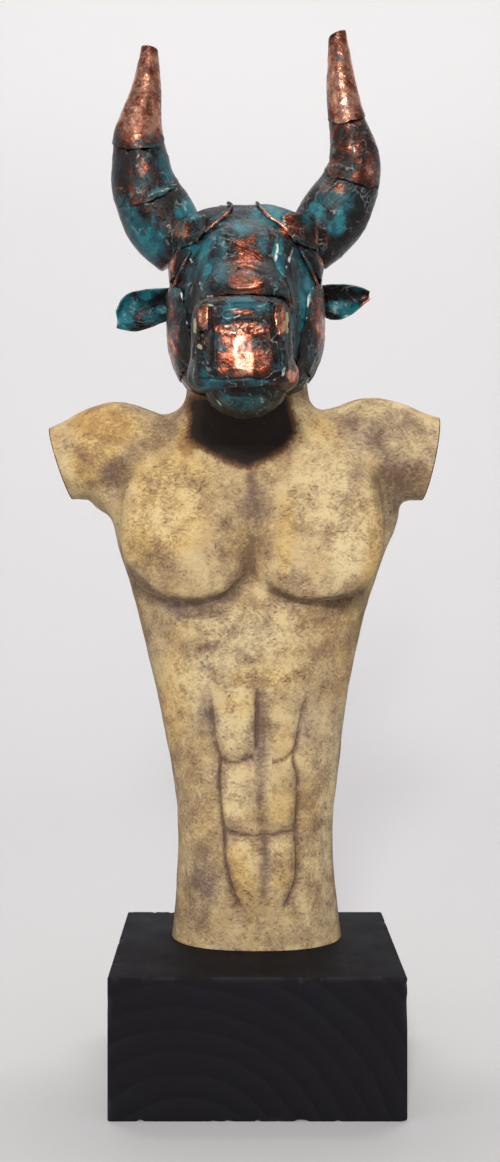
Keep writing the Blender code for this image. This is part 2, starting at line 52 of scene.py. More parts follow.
BLOCK_INNER_RINGS = (0.0, 0.3, 0.6, 0.8, 0.9, 0.95, 0.975, 0.985, 0.99)
BLOCK_EDGE_ROWS = (2.0, 3.0, 4.5, 7, 11, 17, 26, 36)
CHIP_DEPTH = 1.6
CHIP_LENGTH = 7.0
EDGE_WEAR = 2.2
SAW_MARKS = 0.05
PITH = (-46, -38)
RING_WIDTH = 15.0
# Millimetres from one ring of a wave texture to the next at its scale of 1.
WAVE_LENGTH = 314.0
STAIN_BLACK = "#0e0d12"
STAIN_WORN = "#18171d"
STAIN_BROWN = "#171113"
WOOD_RUBBED = "#3c393e"


def linear(code):
    """A colour in linear light from its sRGB hex code: each channel raised by the sRGB curve."""
    share = np.array([int(code[i:i + 2], 16) for i in (1, 3, 5)]) / 255
    return (*np.where(share > 0.04045, ((share + 0.055) / 1.055) ** 2.4, share / 12.92), 1.0)


def feed(tree, node, feeds):
    """Gives a node's sockets values, or links them to other sockets or to nodes' first outputs. A text is
    the hex code of a colour."""
    for socket, value in feeds.items():
        if isinstance(value, bpy.types.Node):
            value = value.outputs[0]
        if isinstance(value, bpy.types.NodeSocket):
            tree.links.new(value, node.inputs[socket])
        else:
            node.inputs[socket].default_value = linear(value) if isinstance(value, str) else value


def add(tree, kind, feeds=None, stops=(), **settings):
    """Adds a node with its settings and feeds; stops gives a colour ramp its places and colours. Sockets
    that share a name go by number: a range map turns values from 1 to 2 into 3 to 4, and a mix goes by its
    share 0 from 2 to 3 for numbers, and from 6 to 7 for colours, which come out at 2."""
    made = tree.nodes.new("ShaderNode" + kind)
    for name, value in settings.items():
        setattr(made, name, value)
    feed(tree, made, feeds or {})
    for number, (place, colour) in enumerate(stops):
        ramp = made.color_ramp.elements
        stop = ramp[number] if number < 2 else ramp.new(place)
        stop.position = place
        stop.color = linear(colour)
    return made


def new_finish(name):
    """A new material, its node tree and its shader."""
    made = bpy.data.materials.new(name)
    made.use_nodes = True
    return made, made.node_tree, made.node_tree.nodes["Principled BSDF"]


def grain(p, size, seed, octaves=1):
    """Noise from -1 to 1 in space: random values at the corners of cubes of the size, blended smoothly
    inside each cube; each further octave has half the size and half the strength."""
    table = np.random.default_rng(seed).uniform(-1, 1, 4096)
    total = np.zeros(p.shape[:-1])
    for octave in range(octaves):
        q = p * (2**octave / size) + 31.7 * octave
        cell = np.floor(q).astype(int)
        t = q - cell
        t = t * t * (3 - 2 * t)
        for corner in np.ndindex(2, 2, 2):
            key = (cell + corner) * (73856093, 19349663, 83492791)
            key = (key[..., 0] ^ key[..., 1] ^ key[..., 2]) & 4095
            total += table[key] * np.where(corner, t, 1 - t).prod(-1) * 0.5**octave
    return total


def ease(value, low, high):
    """0 below the low value, 1 above the high one, and a smooth S curve between them."""
    t = np.clip((value - low) / (high - low), 0, 1)
    return t * t * (3 - 2 * t)


def normals_of(grid, wrap=True):
    """Unit normals of a grid of points: its steps along the columns crossed with its steps up the rows."""
    if wrap:
        across = np.roll(grid, -1, 1) - np.roll(grid, 1, 1)
    else:
        across = np.gradient(grid, axis=1)
    normals = np.cross(across, np.gradient(grid, axis=0))
    if wrap:
        normals[0], normals[-1] = normals[1].mean(0), normals[-2].mean(0)
    return normals / (np.linalg.norm(normals, axis=-1, keepdims=True) + 1e-12)


def make_piece(name, grid, marks, finish, wrap=True):
    """A mesh over a grid of points in millimetres: four neighbours make a face. Where the columns wrap,
    the first and last rows close into poles. The marks are kept at the points for the finish to read."""
    values = np.concatenate([grid, *(mark[..., None] for mark in marks.values())], -1)
    count = values.shape[-1]
    if wrap:
        body = values[1:-1]
        at = np.arange(body.shape[0] * body.shape[1]).reshape(body.shape[:2])
        near, far = at, np.roll(at, -1, axis=1)
        poles = at.size + np.zeros(body.shape[1], int)
        ends = [np.stack([poles, far[0], near[0]], -1), np.stack([poles + 1, near[-1], far[-1]], -1)]
        points = np.concatenate([body.reshape(-1, count), values[[0, -1]].mean(1)])
    else:
        at = np.arange(values.shape[0] * values.shape[1]).reshape(values.shape[:2])
        near, far = at[:, :-1], at[:, 1:]
        ends = []
        points = values.reshape(-1, count)
    faces = np.stack([near[:-1], far[:-1], far[1:], near[1:]], -1).reshape(-1, 4).tolist()
    for end in ends:
        faces += end.tolist()
    mesh = bpy.data.meshes.new(name)
    mesh.from_pydata(points[:, :3] / 1000, [], faces)
    for number, mark in enumerate(marks):
        layer = mesh.attributes.new(mark, "FLOAT", "POINT")
        layer.data.foreach_set("value", np.clip(points[:, 3 + number], 0, 1))
    mesh.shade_smooth()
    mesh.materials.append(finish)
    made = bpy.data.objects.new(name, mesh)
    bpy.context.scene.collection.objects.link(made)
    return made


def pole(ring):
    """A row of points all at the middle of a ring, which closes a grid there."""
    return ring.mean(1, keepdims=True) + 0 * ring


def fix(piece, slot, *nodes):
    """Fixes a piece to the statue in place of its CAD nodes. The slot is not used."""
    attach(piece, "root")
    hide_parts(*nodes)


def block_grid():
    """The block as rings: each ring is its rounded rectangle seen from above, shrunk towards the middle
    for the rows that cross the underside and the top. Rows crowd together at the edges."""
    half = (BLOCK_HIGH - BLOCK_LOW)[:2] / 2
    turn = np.linspace(0, np.pi / 2, 6)
    arcs = []
    for quarter, corner in enumerate(((1, 1), (-1, 1), (-1, -1), (1, -1))):
        angle = turn + quarter * np.pi / 2
        arc = np.stack([np.cos(angle), np.sin(angle)], -1) * BLOCK_CORNER
        arcs.append(arc + (half - BLOCK_CORNER) * corner)
    ring = []
    for arc, following, count in zip(arcs, arcs[1:] + arcs[:1], BLOCK_SIDE_POINTS):
        ring += [arc, arc[-1] + (following[0] - arc[-1]) * np.linspace(0, 1, count + 2)[1:-1, None]]
    ring = np.concatenate(ring)
    height = BLOCK_HIGH[2]
    inner = np.array(BLOCK_INNER_RINGS)
    rim = 1 - BLOCK_CORNER * (1 - np.sin(turn)) / half.max()
    rim_up = BLOCK_CORNER * (1 - np.cos(turn))
    near = np.array(BLOCK_EDGE_ROWS)
    between = np.linspace(near[-1], height - near[-1], 5)[1:-1]
    side = np.concatenate([near, between, height - near[::-1]])
    shares = np.concatenate([inner, rim, np.ones_like(side), rim[::-1], inner[::-1]])
    heights = np.concatenate([0 * inner, rim_up, side, height - rim_up[::-1], height + 0 * inner])
    return np.concatenate([ring * shares[:, None, None], heights[:, None, None] + 0 * ring[:, :1]], -1)


def stained_softwood():
    """Softwood stained black: end grain drinks the stain and stays matt, the growth rings show as faint
    arcs about the pith, which runs from front to back, and knocks and scratches show a paler grey."""
    made, tree, shader = new_finish("black_stained_softwood")
    place = add(tree, "TexCoord").outputs["Object"]
    sway = add(tree, "TexNoise", {"Vector": place, "Scale": 14.0, "Detail": 2.0})
    sway = add(tree, "VectorMath", {0: sway.outputs["Color"], 1: (0.012, 0.0, 0.012)}, operation="MULTIPLY")
    swayed = add(tree, "VectorMath", {0: place, 1: sway}, operation="ADD")
    pith = (-PITH[0] / 1000, 0.0, -PITH[1] / 1000)
    about = add(tree, "Mapping", {"Vector": swayed, "Location": pith, "Scale": (1.0, 0.0, 1.0)})
    waves = {"Vector": about, "Scale": WAVE_LENGTH / RING_WIDTH, "Distortion": 0.6, "Detail": 2.0}
    waves["Detail Scale"] = 40.0
    rings = add(tree, "TexWave", waves, wave_type="RINGS", rings_direction="Y", wave_profile="SAW")
    fibre = add(tree, "Mapping", {"Vector": place, "Scale": (1.0, 0.06, 1.0)})
    fibres = add(tree, "TexNoise", {"Vector": fibre, "Scale": 1400.0, "Detail": 4.0})
    cloud = add(tree, "TexNoise", {"Vector": place, "Scale": 22.0, "Detail": 5.0, "Roughness": 0.65})
    rough = add(tree, "TexNoise", {"Vector": place, "Scale": 420.0, "Detail": 6.0, "Roughness": 0.7})
    band = add(tree, "Math", {0: rings.outputs[1], 1: 0.6}, operation="MULTIPLY")
    brown = add(tree, "MapRange", {"Value": cloud, 1: 0.45, 2: 0.75, 3: 0.0, 4: 0.6})
    worn = add(tree, "Attribute", attribute_name="worn").outputs["Fac"]
    colour = STAIN_BLACK
    for cover, over in ((band, STAIN_WORN), (brown, STAIN_BROWN), (worn, WOOD_RUBBED)):
        colour = add(tree, "Mix", {0: cover, 6: colour, 7: over}, data_type="RGBA").outputs[2]
    shine = add(tree, "MapRange", {"Value": cloud, 1: 0.3, 2: 0.7, 3: 0.55, 4: 0.75})
    high = add(tree, "Mix", {0: 0.5, 2: rough, 3: fibres})
    bump = add(tree, "Bump", {"Height": high, "Strength": 0.45, "Distance": 0.0005})
    feed(tree, shader, {"Base Color": colour, "Roughness": shine, "Normal": bump})
    feed(tree, shader, {"Specular IOR Level": 0.12})
    return made


def make_block():
    """The block's mesh: its rings, with chips where noise along the edges is high."""
    grid = block_grid()
    normals = normals_of(grid)
    half = (BLOCK_HIGH - BLOCK_LOW) / 2
    middle = (BLOCK_HIGH + BLOCK_LOW) / 2
    depth = np.sort(half - np.abs(grid - middle), axis=-1)
    edge = np.exp(-((depth[..., 1] / EDGE_WEAR) ** 2))
    chips = ease(grain(grid, CHIP_LENGTH, 3, 2) + 0.15 * grain(grid, 30, 4), 0.42, 0.95) * edge
    saw = SAW_MARKS * grain(grid * (1, 1, 0.2), 3.0, 5)
    grid = grid - normals * (chips * CHIP_DEPTH + np.abs(saw))[..., None]
    grid[..., 2] = np.maximum(grid[..., 2], 0)
    worn = 0.55 * chips + 0.25 * edge * ease(grain(grid, 12, 6, 2), 0.1, 0.6)
    return make_piece("wooden_block", grid, {"worn": worn}, stained_softwood())


fix(make_block(), "black_wood", "plinth")

# The torso: a man's trunk, neck and stumps of arms in solid cast plaster, its muscles carved, painted in
# ivory and ochre with a violet-brown wash rubbed into the hollows and dragged over the rest. Painted
# shade lies in that wash too, on the flanks, under the chest and low on the belly; the head's shadow is
# painted on the throat, and shade up the neck under the head.
FOOT = BLOCK_HIGH[2] + 0.3
# Heights above the torso's foot, and where the trunk's left, right, front and back sides are there.
TRUNK_SECTIONS = (
    (0, -62, 63.5, -20.5, 61),
    (32, -59.5, 60, -20, 60),
    (62, -58, 57.5, -20, 60),
    (92, -58.8, 58, -20.5, 60),
    (126, -63, 62, -22, 61),
    (158, -69, 65.5, -23.5, 63),
    (203, -79.3, 73.5, -26, 68),
    (248, -90.3, 84.3, -28, 72),
    (285, -101.5, 97.5, -30, 74),
    (300, -105.2, 104, -30, 74),
    (322, -110.5, 107.5, -30, 74),
    (360, -104, 96, -22, 68),
)
TRUNK_TOP = 352.0
TRUNK_ROUNDNESS = 2.35
# Middles and radii of the swollen shapes; starts, ways, radii and tapers of the arms.
YOKE = ((-5, 19, 350), (97, 41, 41))
NECK = ((-6.4, 9, 380), (45.5, 38.5, 72))
NECK_LEAN = 0.16
SHOULDERS = (((-103, 18, 358.5), (42, 34, 34.2)), ((85, 18, 361.5), (46, 34, 35.5)))
ARMS = (
    ((-103, 18, 358.5), (-0.976, 0.0, -0.216), 35.4, 0.17),
    ((88, 18, 358), (0.991, 0.0, -0.132), 36.9, 0.13),
)
ARM_DEPTH_SHARE = 0.88
CUT_RIM = 1.1
# Rings on a sawn face: each one's size as a share of the one before it, and how dark it is painted.
CUT_RINGS = ((0.97, 0.8), (0.92, 0.4), (0.8, 0.25), (0.7, 0.1), (0.6, 0.1), (0.5, 0.1))
ARM_CUTS = (((-144.5, 18, 349.3), (-0.954, 0.0, -0.300)), ((129.6, 18, 352.4), (0.981, 0.0, -0.193)))
ARM_FLOOR = 262.0
CHEST_MUSCLES = (((-48, -20, 303), (48.5, 21, 54)), ((41, -20, 303), (50, 21, 54)))
ARMPIT_FOLD = ((-105, 20, 322.5), (16, 22, 10.5))
CHEST_LEAN = 0.17
SHOULDER_BLADES = (((-46, 58, 310), (36, 20, 44)), ((36, 58, 310), (36, 20, 44)))
# Shares of the way up the rays, heights they start from, and their tilts in front and at the sides.
TORSO_RAYS = (
    (0.0, 0, 0, 0),
    (0.42, 224, 0, 0),
    (0.64, 290, -36, -8),
    (0.72, 354, -20, -20),
    (1.0, 354, 66, 66),
)

# What the camera sees: places on the front are given in pixels of its picture, 500 wide and 1162 high. A
# spot there has a middle, half a width, half a height, a turn in degrees and a strength.
CAMERA = (-11.6, -841.5, 376.7)
FOCUS = 1157
LEVEL = (240, 556)
PICTURE = (500, 1162)

# The belly's grooves, the creases under the chest and the furrows of the shoulders, in the camera's picture.
BELLY_GROOVES = (
    (
        (210.7, 693), (211.5, 720), (214, 740), (219.5, 759), (219, 770), (218.5, 783), (219.8, 803),
        (221.5, 819), (223.4, 829), (224, 840), (224, 857), (228, 877), (234.7, 897), (243, 913),
    ),
    (
        (308, 693), (302.7, 716), (297.7, 742), (294.4, 754), (294.6, 764), (298.4, 776), (298.6, 796),
        (297, 819), (296, 833), (297.7, 852), (297, 877), (291, 896), (282, 912),
    ),
    ((218, 757), (226, 762), (236, 763.5), (246, 760.5), (254, 757)),
    ((272, 763), (280, 762), (288, 758), (296, 750)),
    ((222, 827), (230, 833), (243, 836), (258, 837.5), (274, 835.5), (284, 833), (297, 831.5)),
    ((257.5, 690), (257, 712), (256.5, 752)),
)
CENTRE_BANDS = (
    (((262, 684), (262, 720), (261.5, 774)), 8.5),
    (((260.5, 748), (260.5, 800), (262.5, 846)), 6.0),
    (((264.5, 822), (265, 862), (263.5, 906)), 4.6),
)
PAD_MIDDLES = (
    (234, 722, 15, 36, 0, 1.0),
    (284, 722, 12, 36, 0, 1.0),
    (236, 798, 13, 28, 0, 1.0),
    (281, 798, 13, 28, 0, 1.0),
    (242, 866, 13, 28, -6, 1.0),
    (281, 866, 12, 28, 6, 1.0),
)
CHEST_CREASES = (
    ((124, 560), (131, 574), (146, 589), (165, 598), (188, 603), (216, 600), (235, 588), (248, 574)),
    ((262, 577), (275, 590), (291, 599), (310, 602), (339, 600), (356, 596), (373, 580)),
)
UNDERCUT = (((320, 600), (339, 600.5), (357, 596)),)
BREASTBONE = (((251, 462), (252, 500), (251, 540), (250, 584)),)
SHOULDER_FURROWS = (
    ((330, 408), (345, 417), (360, 430), (378, 446), (392, 464), (399, 488), (398, 508)),
    ((186, 428), (160, 436), (136, 452), (116, 474), (104, 492)),
)
# Spots of wash and of painted shade: the armpits and the undersides of the chest are shaded this way.
WASH_SPOTS = (
    (232, 562, 13, 42, -8, 0.45),
    (216, 490, 22, 34, 0, 0.18),
    (265, 520, 8, 56, 0, 0.3),
    (150, 568, 26, 24, 30, 0.42),
    (176, 418, 28, 14, 0, 0.42),
    (112, 478, 15, 22, 10, 0.45),
    (98, 490, 26, 12, 5, 0.45),
    (90, 455, 26, 24, 0, 0.12),
    (388, 490, 17, 32, 0, 0.5),
    (404, 428, 24, 18, 10, 0.42),
    (412, 478, 20, 28, 0, 0.5),
    (384, 450, 16, 30, -20, 0.25),
    (262, 418, 30, 40, 0, 0.2),
    (353, 470, 12, 34, 0, 0.22),
    (190, 612, 30, 7, 0, 0.55),
    (296, 517, 9, 20, 0, 0.32),
    (296, 578, 10, 10, 0, 0.4),
    (345, 616, 30, 12, 0, 0.3),
    (320, 668, 34, 26, 0, 0.22),
    (158, 634, 14, 24, 20, 0.35),
    (208, 647, 12, 4, -18, 0.5),
    (204, 668, 10, 3, -18, 0.4),
    (206, 722, 9, 30, 0, 0.36),
    (190, 790, 22, 34, 0, 0.22),
    (203, 890, 15, 46, 6, 0.5),
    (312, 720, 9, 34, 0, 0.34),
    (316, 852, 14, 60, 0, 0.25),
)
OCHRE_SPOTS = (
    (104, 424, 36, 22, 10, 1.0),
    (96, 462, 30, 30, 10, 0.75),
    (186, 444, 9, 15, 0, 1.0),
    (172, 480, 48, 30, 0, 0.6),
    (165, 520, 42, 40, 0, 0.6),
    (286, 535, 10, 46, 3, 0.55),
    (356, 408, 22, 8, 6, 0.5),
    (322, 432, 20, 16, 0, 0.45),
    (375, 545, 8, 36, 12, 0.55),
    (172, 700, 20, 50, 6, 0.5),
    (240, 706, 26, 10, 0, 0.4),
    (344, 664, 9, 30, 8, 0.5),
    (258, 678, 30, 12, 0, 0.4),
    (284, 746, 10, 20, 0, 0.22),
    (280, 800, 10, 22, 0, 0.2),
    (246, 875, 20, 36, 0, 0.25),
    (282, 866, 11, 26, 0, 0.22),
    (412, 484, 14, 18, 0, 0.6),
)
PALE_SPOTS = (
    (176, 500, 30, 40, 0, 0.28),
    (320, 480, 30, 46, 0, 0.5),
    (345, 548, 20, 34, 0, 0.4),
    (245, 630, 52, 22, 0, 0.45),
    (196, 672, 26, 20, 0, 0.4),
    (235, 800, 12, 26, 0, 0.5),
    (236, 720, 14, 34, 0, 0.4),
    (334, 830, 14, 90, 0, 0.25),
    (150, 430, 18, 8, 0, 0.3),
    (262, 590, 9, 12, 0, 0.5),
    (357, 408, 22, 8, 5, 1.1),
    (302, 420, 10, 12, 0, 0.4),
)
HAIR_SCRATCHES = (
    ((272, 668), (284, 674), (292, 684)),
    ((276, 676), (288, 682)),
    ((290, 668), (302, 676), (308, 682)),
    ((225, 726), (229, 732)),
    ((222, 735), (226, 739)),
    ((243, 881), (250, 885)),
    ((189, 698), (196, 704)),
)
# Carved lines: their half width, the share that fades at each end, how far below the drawn line they lie,
# how deep they are cut, and how much wash and soot they hold. The wash a little below the chest creases is
# painted shadow, and so is the undercut's soot.
CARVED_LINES = (
    (BELLY_GROOVES, 1.5, 0.05, 0, 2.2, 0.5, 0.0),
    (BELLY_GROOVES, 6.0, 0.05, 0, 0.9, 0.34, 0.0),
    (CHEST_CREASES, 3.0, 0.12, 0, 0.9, 0.7, 0.0),
    # Painted shadow under the chest: wash only, a little below the creases, nothing cut.
    (CHEST_CREASES, 9.0, 0.12, 4, 0.0, 0.42, 0.0),
    # The undercut's soot is painted shade.
    (UNDERCUT, 1.6, 0.2, 0, 1.2, 0.5, 0.35),
    (BREASTBONE, 7.0, 0.12, 0, 1.0, 0.75, 0.0),
    (SHOULDER_FURROWS, 12.0, 0.25, 0, 0.9, 0.6, 0.0),
    (HAIR_SCRATCHES, 0.9, 0.2, 0, 0.3, 0.5, 0.25),
)
# Heights between which the wash deepens downwards, as painted shade over the lower belly, and the neck's
# soot upwards, as painted shade under the head.
WAIST_SHADE = (220, 262)
NECK_SOOT = (396, 414)
# The outline of the head's shadow on the throat, which is painted dark inside it.
THROAT_OUTLINE = (
    (187, 396), (188, 438), (200, 448), (224, 461), (247, 468), (266, 461), (284, 448), (296, 432),
    (288, 396),
)
IVORY = "#ad9163"
IVORY_PALE = "#bda981"
CREAM_YELLOW = "#bfa163"
OCHRE = "#9c743b"
VEIL_MAUVE = "#7f6a5b"
CHALK = "#d3c296"
WASH_VIOLET = "#65504c"
WASH_BROWN = "#5f4833"
SPECK = "#513d2a"
# The two dark colours of the soot coats, which also paint the head's shadow on the throat.
THROAT_RUST = "#6b4023"
THROAT_BLACK = "#150c09"
STROKE_TURNS = (0.2, 0.9, -0.8, 1.45)
# Coats of paint in turn: what spreads each, how the strokes' mottle sways that, between which values the
# coat sets in, how far it covers at most, and its colour. The wash drifts between two colours and carries
# painted shade as well; the last two coats are the dark marks, the head's painted shadow on the throat among
# them.
PAINT_COATS = (
    ("ochre", 1.6, 0.1, 0.6, 0.85, CREAM_YELLOW),
    ("ochre", 1.6, 0.45, 1.0, 0.85, OCHRE),
    ("pale", -3.0, 0.1, 0.8, 0.6, CHALK),
    ("veil", 1.0, -0.06, 0.1, 0.45, VEIL_MAUVE),
    ("wash", 2.8, 0.12, 1.05, 0.92, None),
    ("fleck", 0.0, 0.78, 0.88, 0.75, SPECK),
    ("soot", 1.1, 0.08, 0.4, 0.85, THROAT_RUST),
    ("soot", 1.1, 0.25, 0.75, 0.97, THROAT_BLACK),
)


def spline(knots, values, at):
    """A smooth curve through values at rising knots: cubic pieces that share their slopes at the knots."""
    knots = np.asarray(knots, float)
    values = np.asarray(values, float)
    at = np.clip(at, knots[0], knots[-1])
    slopes = np.gradient(values, knots, axis=0)
    i = np.clip(np.searchsorted(knots, at, side="right") - 1, 0, len(knots) - 2)
    step = knots[i + 1] - knots[i]
    t = (at - knots[i]) / step
    wide = np.shape(at) + (1,) * (values.ndim - 1)
    t, step = t.reshape(wide), step.reshape(wide)
    a, b, sa, sb = values[i], values[i + 1], slopes[i] * step, slopes[i + 1] * step
    return a + t * sa + t**2 * (3 * (b - a) - 2 * sa - sb) + t**3 * (2 * (a - b) + sa + sb)


def smooth_path(points, count):
    """count points along a smooth curve through the points, evenly spaced by their number."""
    return spline(np.arange(len(points)), points, np.linspace(0, len(points) - 1, count))


def swollen(p, middle, radii, power=2.0):
    """Near distance from points to a superellipsoid: its radial value less one, over that value's slope."""
    q = np.abs(p - np.asarray(middle, float)) / radii + 1e-6
    total = (q**power).sum(-1)
    slope = total ** (1 / power - 1) * np.sqrt(((q ** (power - 1) / radii) ** 2).sum(-1))
    return (total ** (1 / power) - 1) / slope


def melt(a, b, reach):
    """The union of two distances, with the valley between them filled over the reach."""
    h = np.clip(0.5 + 0.5 * (b - a) / reach, 0, 1)
    return b + (a - b) * h - reach * h * (1 - h)


def limb(p, start, way, radius, taper):
    """Near distance to a round arm that narrows by the taper for each millimetre along its way."""
    offset = (p - np.asarray(start, float)) / (1, ARM_DEPTH_SHARE, 1)
    along = np.clip((offset * way).sum(-1), 0, None)
    across = offset - along[..., None] * np.asarray(way)
    return np.sqrt((across**2).sum(-1)) - (radius - taper * along)


def trunk(p):
    """Near distance to the trunk: at each height a squarish oval with the listed sides, front and back."""
    sections = np.array(TRUNK_SECTIONS, float)
    left, right, front, back = np.moveaxis(spline(sections[:, 0], sections[:, 1:], p[..., 2]), -1, 0)
    middle = np.stack([(left + right) / 2, (front + back) / 2], -1)
    radii = np.stack([(right - left) / 2, (back - front) / 2], -1)
    q = np.abs(p[..., :2] - middle) / radii + 1e-6
    power = TRUNK_ROUNDNESS
    total = (q**power).sum(-1)
    slope = total ** (1 / power - 1) * np.sqrt(((q ** (power - 1) / radii) ** 2).sum(-1))
    return np.maximum((total ** (1 / power) - 1) / slope, p[..., 2] - TRUNK_TOP)


def leaning(p, middle, radii, lean, power):
    """Near distance to a swollen shape that leans forward as it rises."""
    shift = lean * (p[..., 2] - middle[2])
    return swollen(p + np.stack([0 * shift, shift, 0 * shift], -1), middle, radii, power)


def torso(p):
    """Near distance to the whole torso: trunk, shoulders, neck, arms and muscles melted together."""
    d = melt(trunk(p), swollen(p, *YOKE, 2.5), 14)
    for shoulder in SHOULDERS:
        d = melt(d, swollen(p, *shoulder), 12)
    for arm in ARMS:
        d = melt(d, limb(p, *arm), 8)
    d = melt(d, swollen(p, *ARMPIT_FOLD), 8)
    d = melt(d, leaning(p, *NECK, NECK_LEAN, 2.6), 14)
    for muscle in SHOULDER_BLADES:
        d = melt(d, swollen(p, *muscle), 12)
    for muscle in CHEST_MUSCLES:
        d = melt(d, leaning(p, *muscle, -CHEST_LEAN, 2.6), 7)
    return d


def cast(distance, origins, ways, reach, steps=48):
    """Where each ray leaves a shape: the outermost step that is still inside it, refined by halving."""
    far = np.linspace(0, reach, steps)
    inside = np.stack([distance(origins + t * ways) < 0 for t in far])
    last = steps - 1 - np.argmax(inside[::-1], axis=0)
    low = far[np.minimum(last, steps - 2)]
    return halve(distance, origins, ways, low, low + far[1])


def halve(distance, origins, ways, low, high):
    """The lengths at which rays cross a surface that lies between two lengths, by halving."""
    for _ in range(12):
        middle = (low + high) / 2
        within = distance(origins + middle[..., None] * ways) < 0
        low, high = np.where(within, middle, low), np.where(within, high, middle)
    return (low + high) / 2


def cast_finely(distance, origins, ways, reach, room=6.0):
    """As cast, for a dense grid of rays with wrapping columns: every fourth ray is cast, the lengths of the
    rest lie within some room of theirs, and the few that don't are cast in full."""
    origins, ways = np.broadcast_arrays(np.asarray(origins, float), ways)
    coarse = cast(distance, origins[::4, ::4], ways[::4, ::4], reach)
    rows = np.minimum(np.arange(ways.shape[0]) / 4, len(coarse) - 1.001)
    columns = np.arange(ways.shape[1]) / 4
    i, j = rows.astype(int), columns.astype(int)
    u, v = (rows - i)[:, None], columns - j
    following = (j + 1) % coarse.shape[1]
    near = coarse[i][:, j] * (1 - v) + coarse[i][:, following] * v
    beyond = coarse[i + 1][:, j] * (1 - v) + coarse[i + 1][:, following] * v
    guess = near * (1 - u) + beyond * u
    low, high = np.maximum(guess - room, 0), guess + room
    missed = distance(origins + low[..., None] * ways) > 0
    missed |= distance(origins + high[..., None] * ways) < 0
    length = halve(distance, origins, ways, low, high)
    if missed.any():
        length[missed] = cast(distance, origins[missed], ways[missed], reach)
    return origins + length[..., None] * ways


def ways_of(azimuth, elevation):
    """Unit directions: azimuth turns from the viewer's right, +X, through the back, +Y."""
    flat = np.cos(elevation)
    rise = np.sin(elevation) + 0 * azimuth
    return np.stack([flat * np.cos(azimuth), flat * np.sin(azimuth), rise], -1)


def turn_from_back(count, crowding):
    """Azimuths once around, closest together at the front: an even turn less a sine wave of it."""
    even = np.arange(count) / count * 2 * np.pi
    return np.pi / 2 + even + crowding * np.sin(even)


def seen(p):
    """Where the camera sees places on the figure: offsets from its axis, scaled by its focus over the
    distance in front of it."""
    away = p[..., 1] - CAMERA[1]
    across = LEVEL[0] + (p[..., 0] - CAMERA[0]) * FOCUS / away
    down = LEVEL[1] - (p[..., 2] + FOOT - CAMERA[2]) * FOCUS / away
    return np.stack([across, down], -1)


def line_near(places, points, bends=6):
    """Distance from places to a smooth line through points, which side they lie on, and the nearest
    place's share of the way along it: the smallest of the distances to its short straight parts."""
    path = smooth_path(np.array(points, float), bends * (len(points) - 1) + 1)
    nearest = np.full(places.shape[:-1], np.inf)
    side, share = np.zeros_like(nearest), np.zeros_like(nearest)
    for number, (a, b) in enumerate(zip(path[:-1], path[1:])):
        way = b - a
        t = np.clip(((places - a) @ way) / (way @ way), 0, 1)
        off = places - a - t[..., None] * way
        length = np.hypot(off[..., 0], off[..., 1])
        closer = length < nearest
        nearest = np.where(closer, length, nearest)
        side = np.where(closer, np.sign(way[0] * off[..., 1] - way[1] * off[..., 0]), side)
        share = np.where(closer, (number + t) / (len(path) - 1), share)
    return nearest, side, share


def furrow(places, lines, width, fade=0.12):
    """Soft lines: for each a bell curve of the distance to it, fading towards its ends; the strongest one
    counts."""
    found = np.zeros(places.shape[:-1])
    for points in lines:
        length, _, share = line_near(places, points)
        ends = ease(share, 0, fade) * ease(1 - share, 0, fade)
        found = np.maximum(found, np.exp(-((length / width) ** 2)) * ends)
    return found


def ovals(places, spots, power=2.0, inner=0.55, outer=1.45):
    """How far places lie in soft ovals, each given by its middle, half width, half height, turn in degrees
    and strength: full up to the inner share of its size, nothing beyond the outer. A higher power squares
    them, and a strength below nought takes away."""
    more = less = np.zeros(places.shape[:-1])
    for x, y, wide, high, turn, strength in spots:
        c, s = np.cos(np.radians(turn)), np.sin(np.radians(turn))
        dx, dy = places[..., 0] - x, places[..., 1] - y
        reach = np.abs((dx * c + dy * s) / wide) ** power + np.abs((dy * c - dx * s) / high) ** power
        spot = strength * (1 - ease(reach ** (1 / power), inner, outer))
        more, less = np.maximum(more, spot), np.minimum(less, spot)
    return more + less


def within(places, corners, soft):
    """How far places lie inside an outline with no hollows, its corners in order around: the smallest of
    the distances from its sides, eased over a soft edge to both sides of it."""
    corners = np.array(corners, float)
    ways = np.roll(corners, -1, axis=0) - corners
    ways /= np.hypot(*ways.T)[:, None]
    off = places[..., None, :] - corners
    turn = np.sign(ways[0, 0] * ways[1, 1] - ways[0, 1] * ways[1, 0])
    depth = (ways[:, 0] * off[..., 1] - ways[:, 1] * off[..., 0]) * turn
    return ease(depth.min(-1), -soft, soft)


def saw_off(mesh, point, normal):
    """Saws a stump off flat: cuts the mesh above the arms' floor by a plane, and closes the cut with rings
    that step in towards its middle. The rim is painted dark; the paint thins out over the sawn face."""
    bm = bmesh.new()
    bm.from_mesh(mesh)
    dark, rubbed = (bm.verts.layers.float[name] for name in ("soot", "wash"))
    floor = (ARM_FLOOR + FOOT) / 1000
    place = (np.array(point) + (0, 0, FOOT)) / 1000
    for inward in (CUT_RIM / 1000, 0.0):
        near = [f for f in bm.faces if min(v.co.z for v in f.verts) >= floor]
        edges = {e for f in near for e in f.edges}
        corners = {v for f in near for v in f.verts}
        cut = {"plane_co": place - inward * np.array(normal), "plane_no": normal, "clear_outer": inward == 0}
        bmesh.ops.bisect_plane(bm, geom=[*corners, *edges, *near], **cut)
    edges = [e for e in bm.edges if e.is_boundary]
    for v in {v for e in edges for v in e.verts}:
        v[dark] = 0.8
    face = bmesh.ops.holes_fill(bm, edges=edges, sides=0)["faces"][0]
    middle = Matrix.Translation(-face.calc_center_bounds())
    for share, left in CUT_RINGS:
        bmesh.ops.inset_individual(bm, faces=[face], thickness=0)
        bmesh.ops.scale(bm, vec=(share,) * 3, space=middle, verts=face.verts)
        for v in face.verts:
            v[dark], v[rubbed] = left, 0.7
    bm.to_mesh(mesh)
    bm.free()


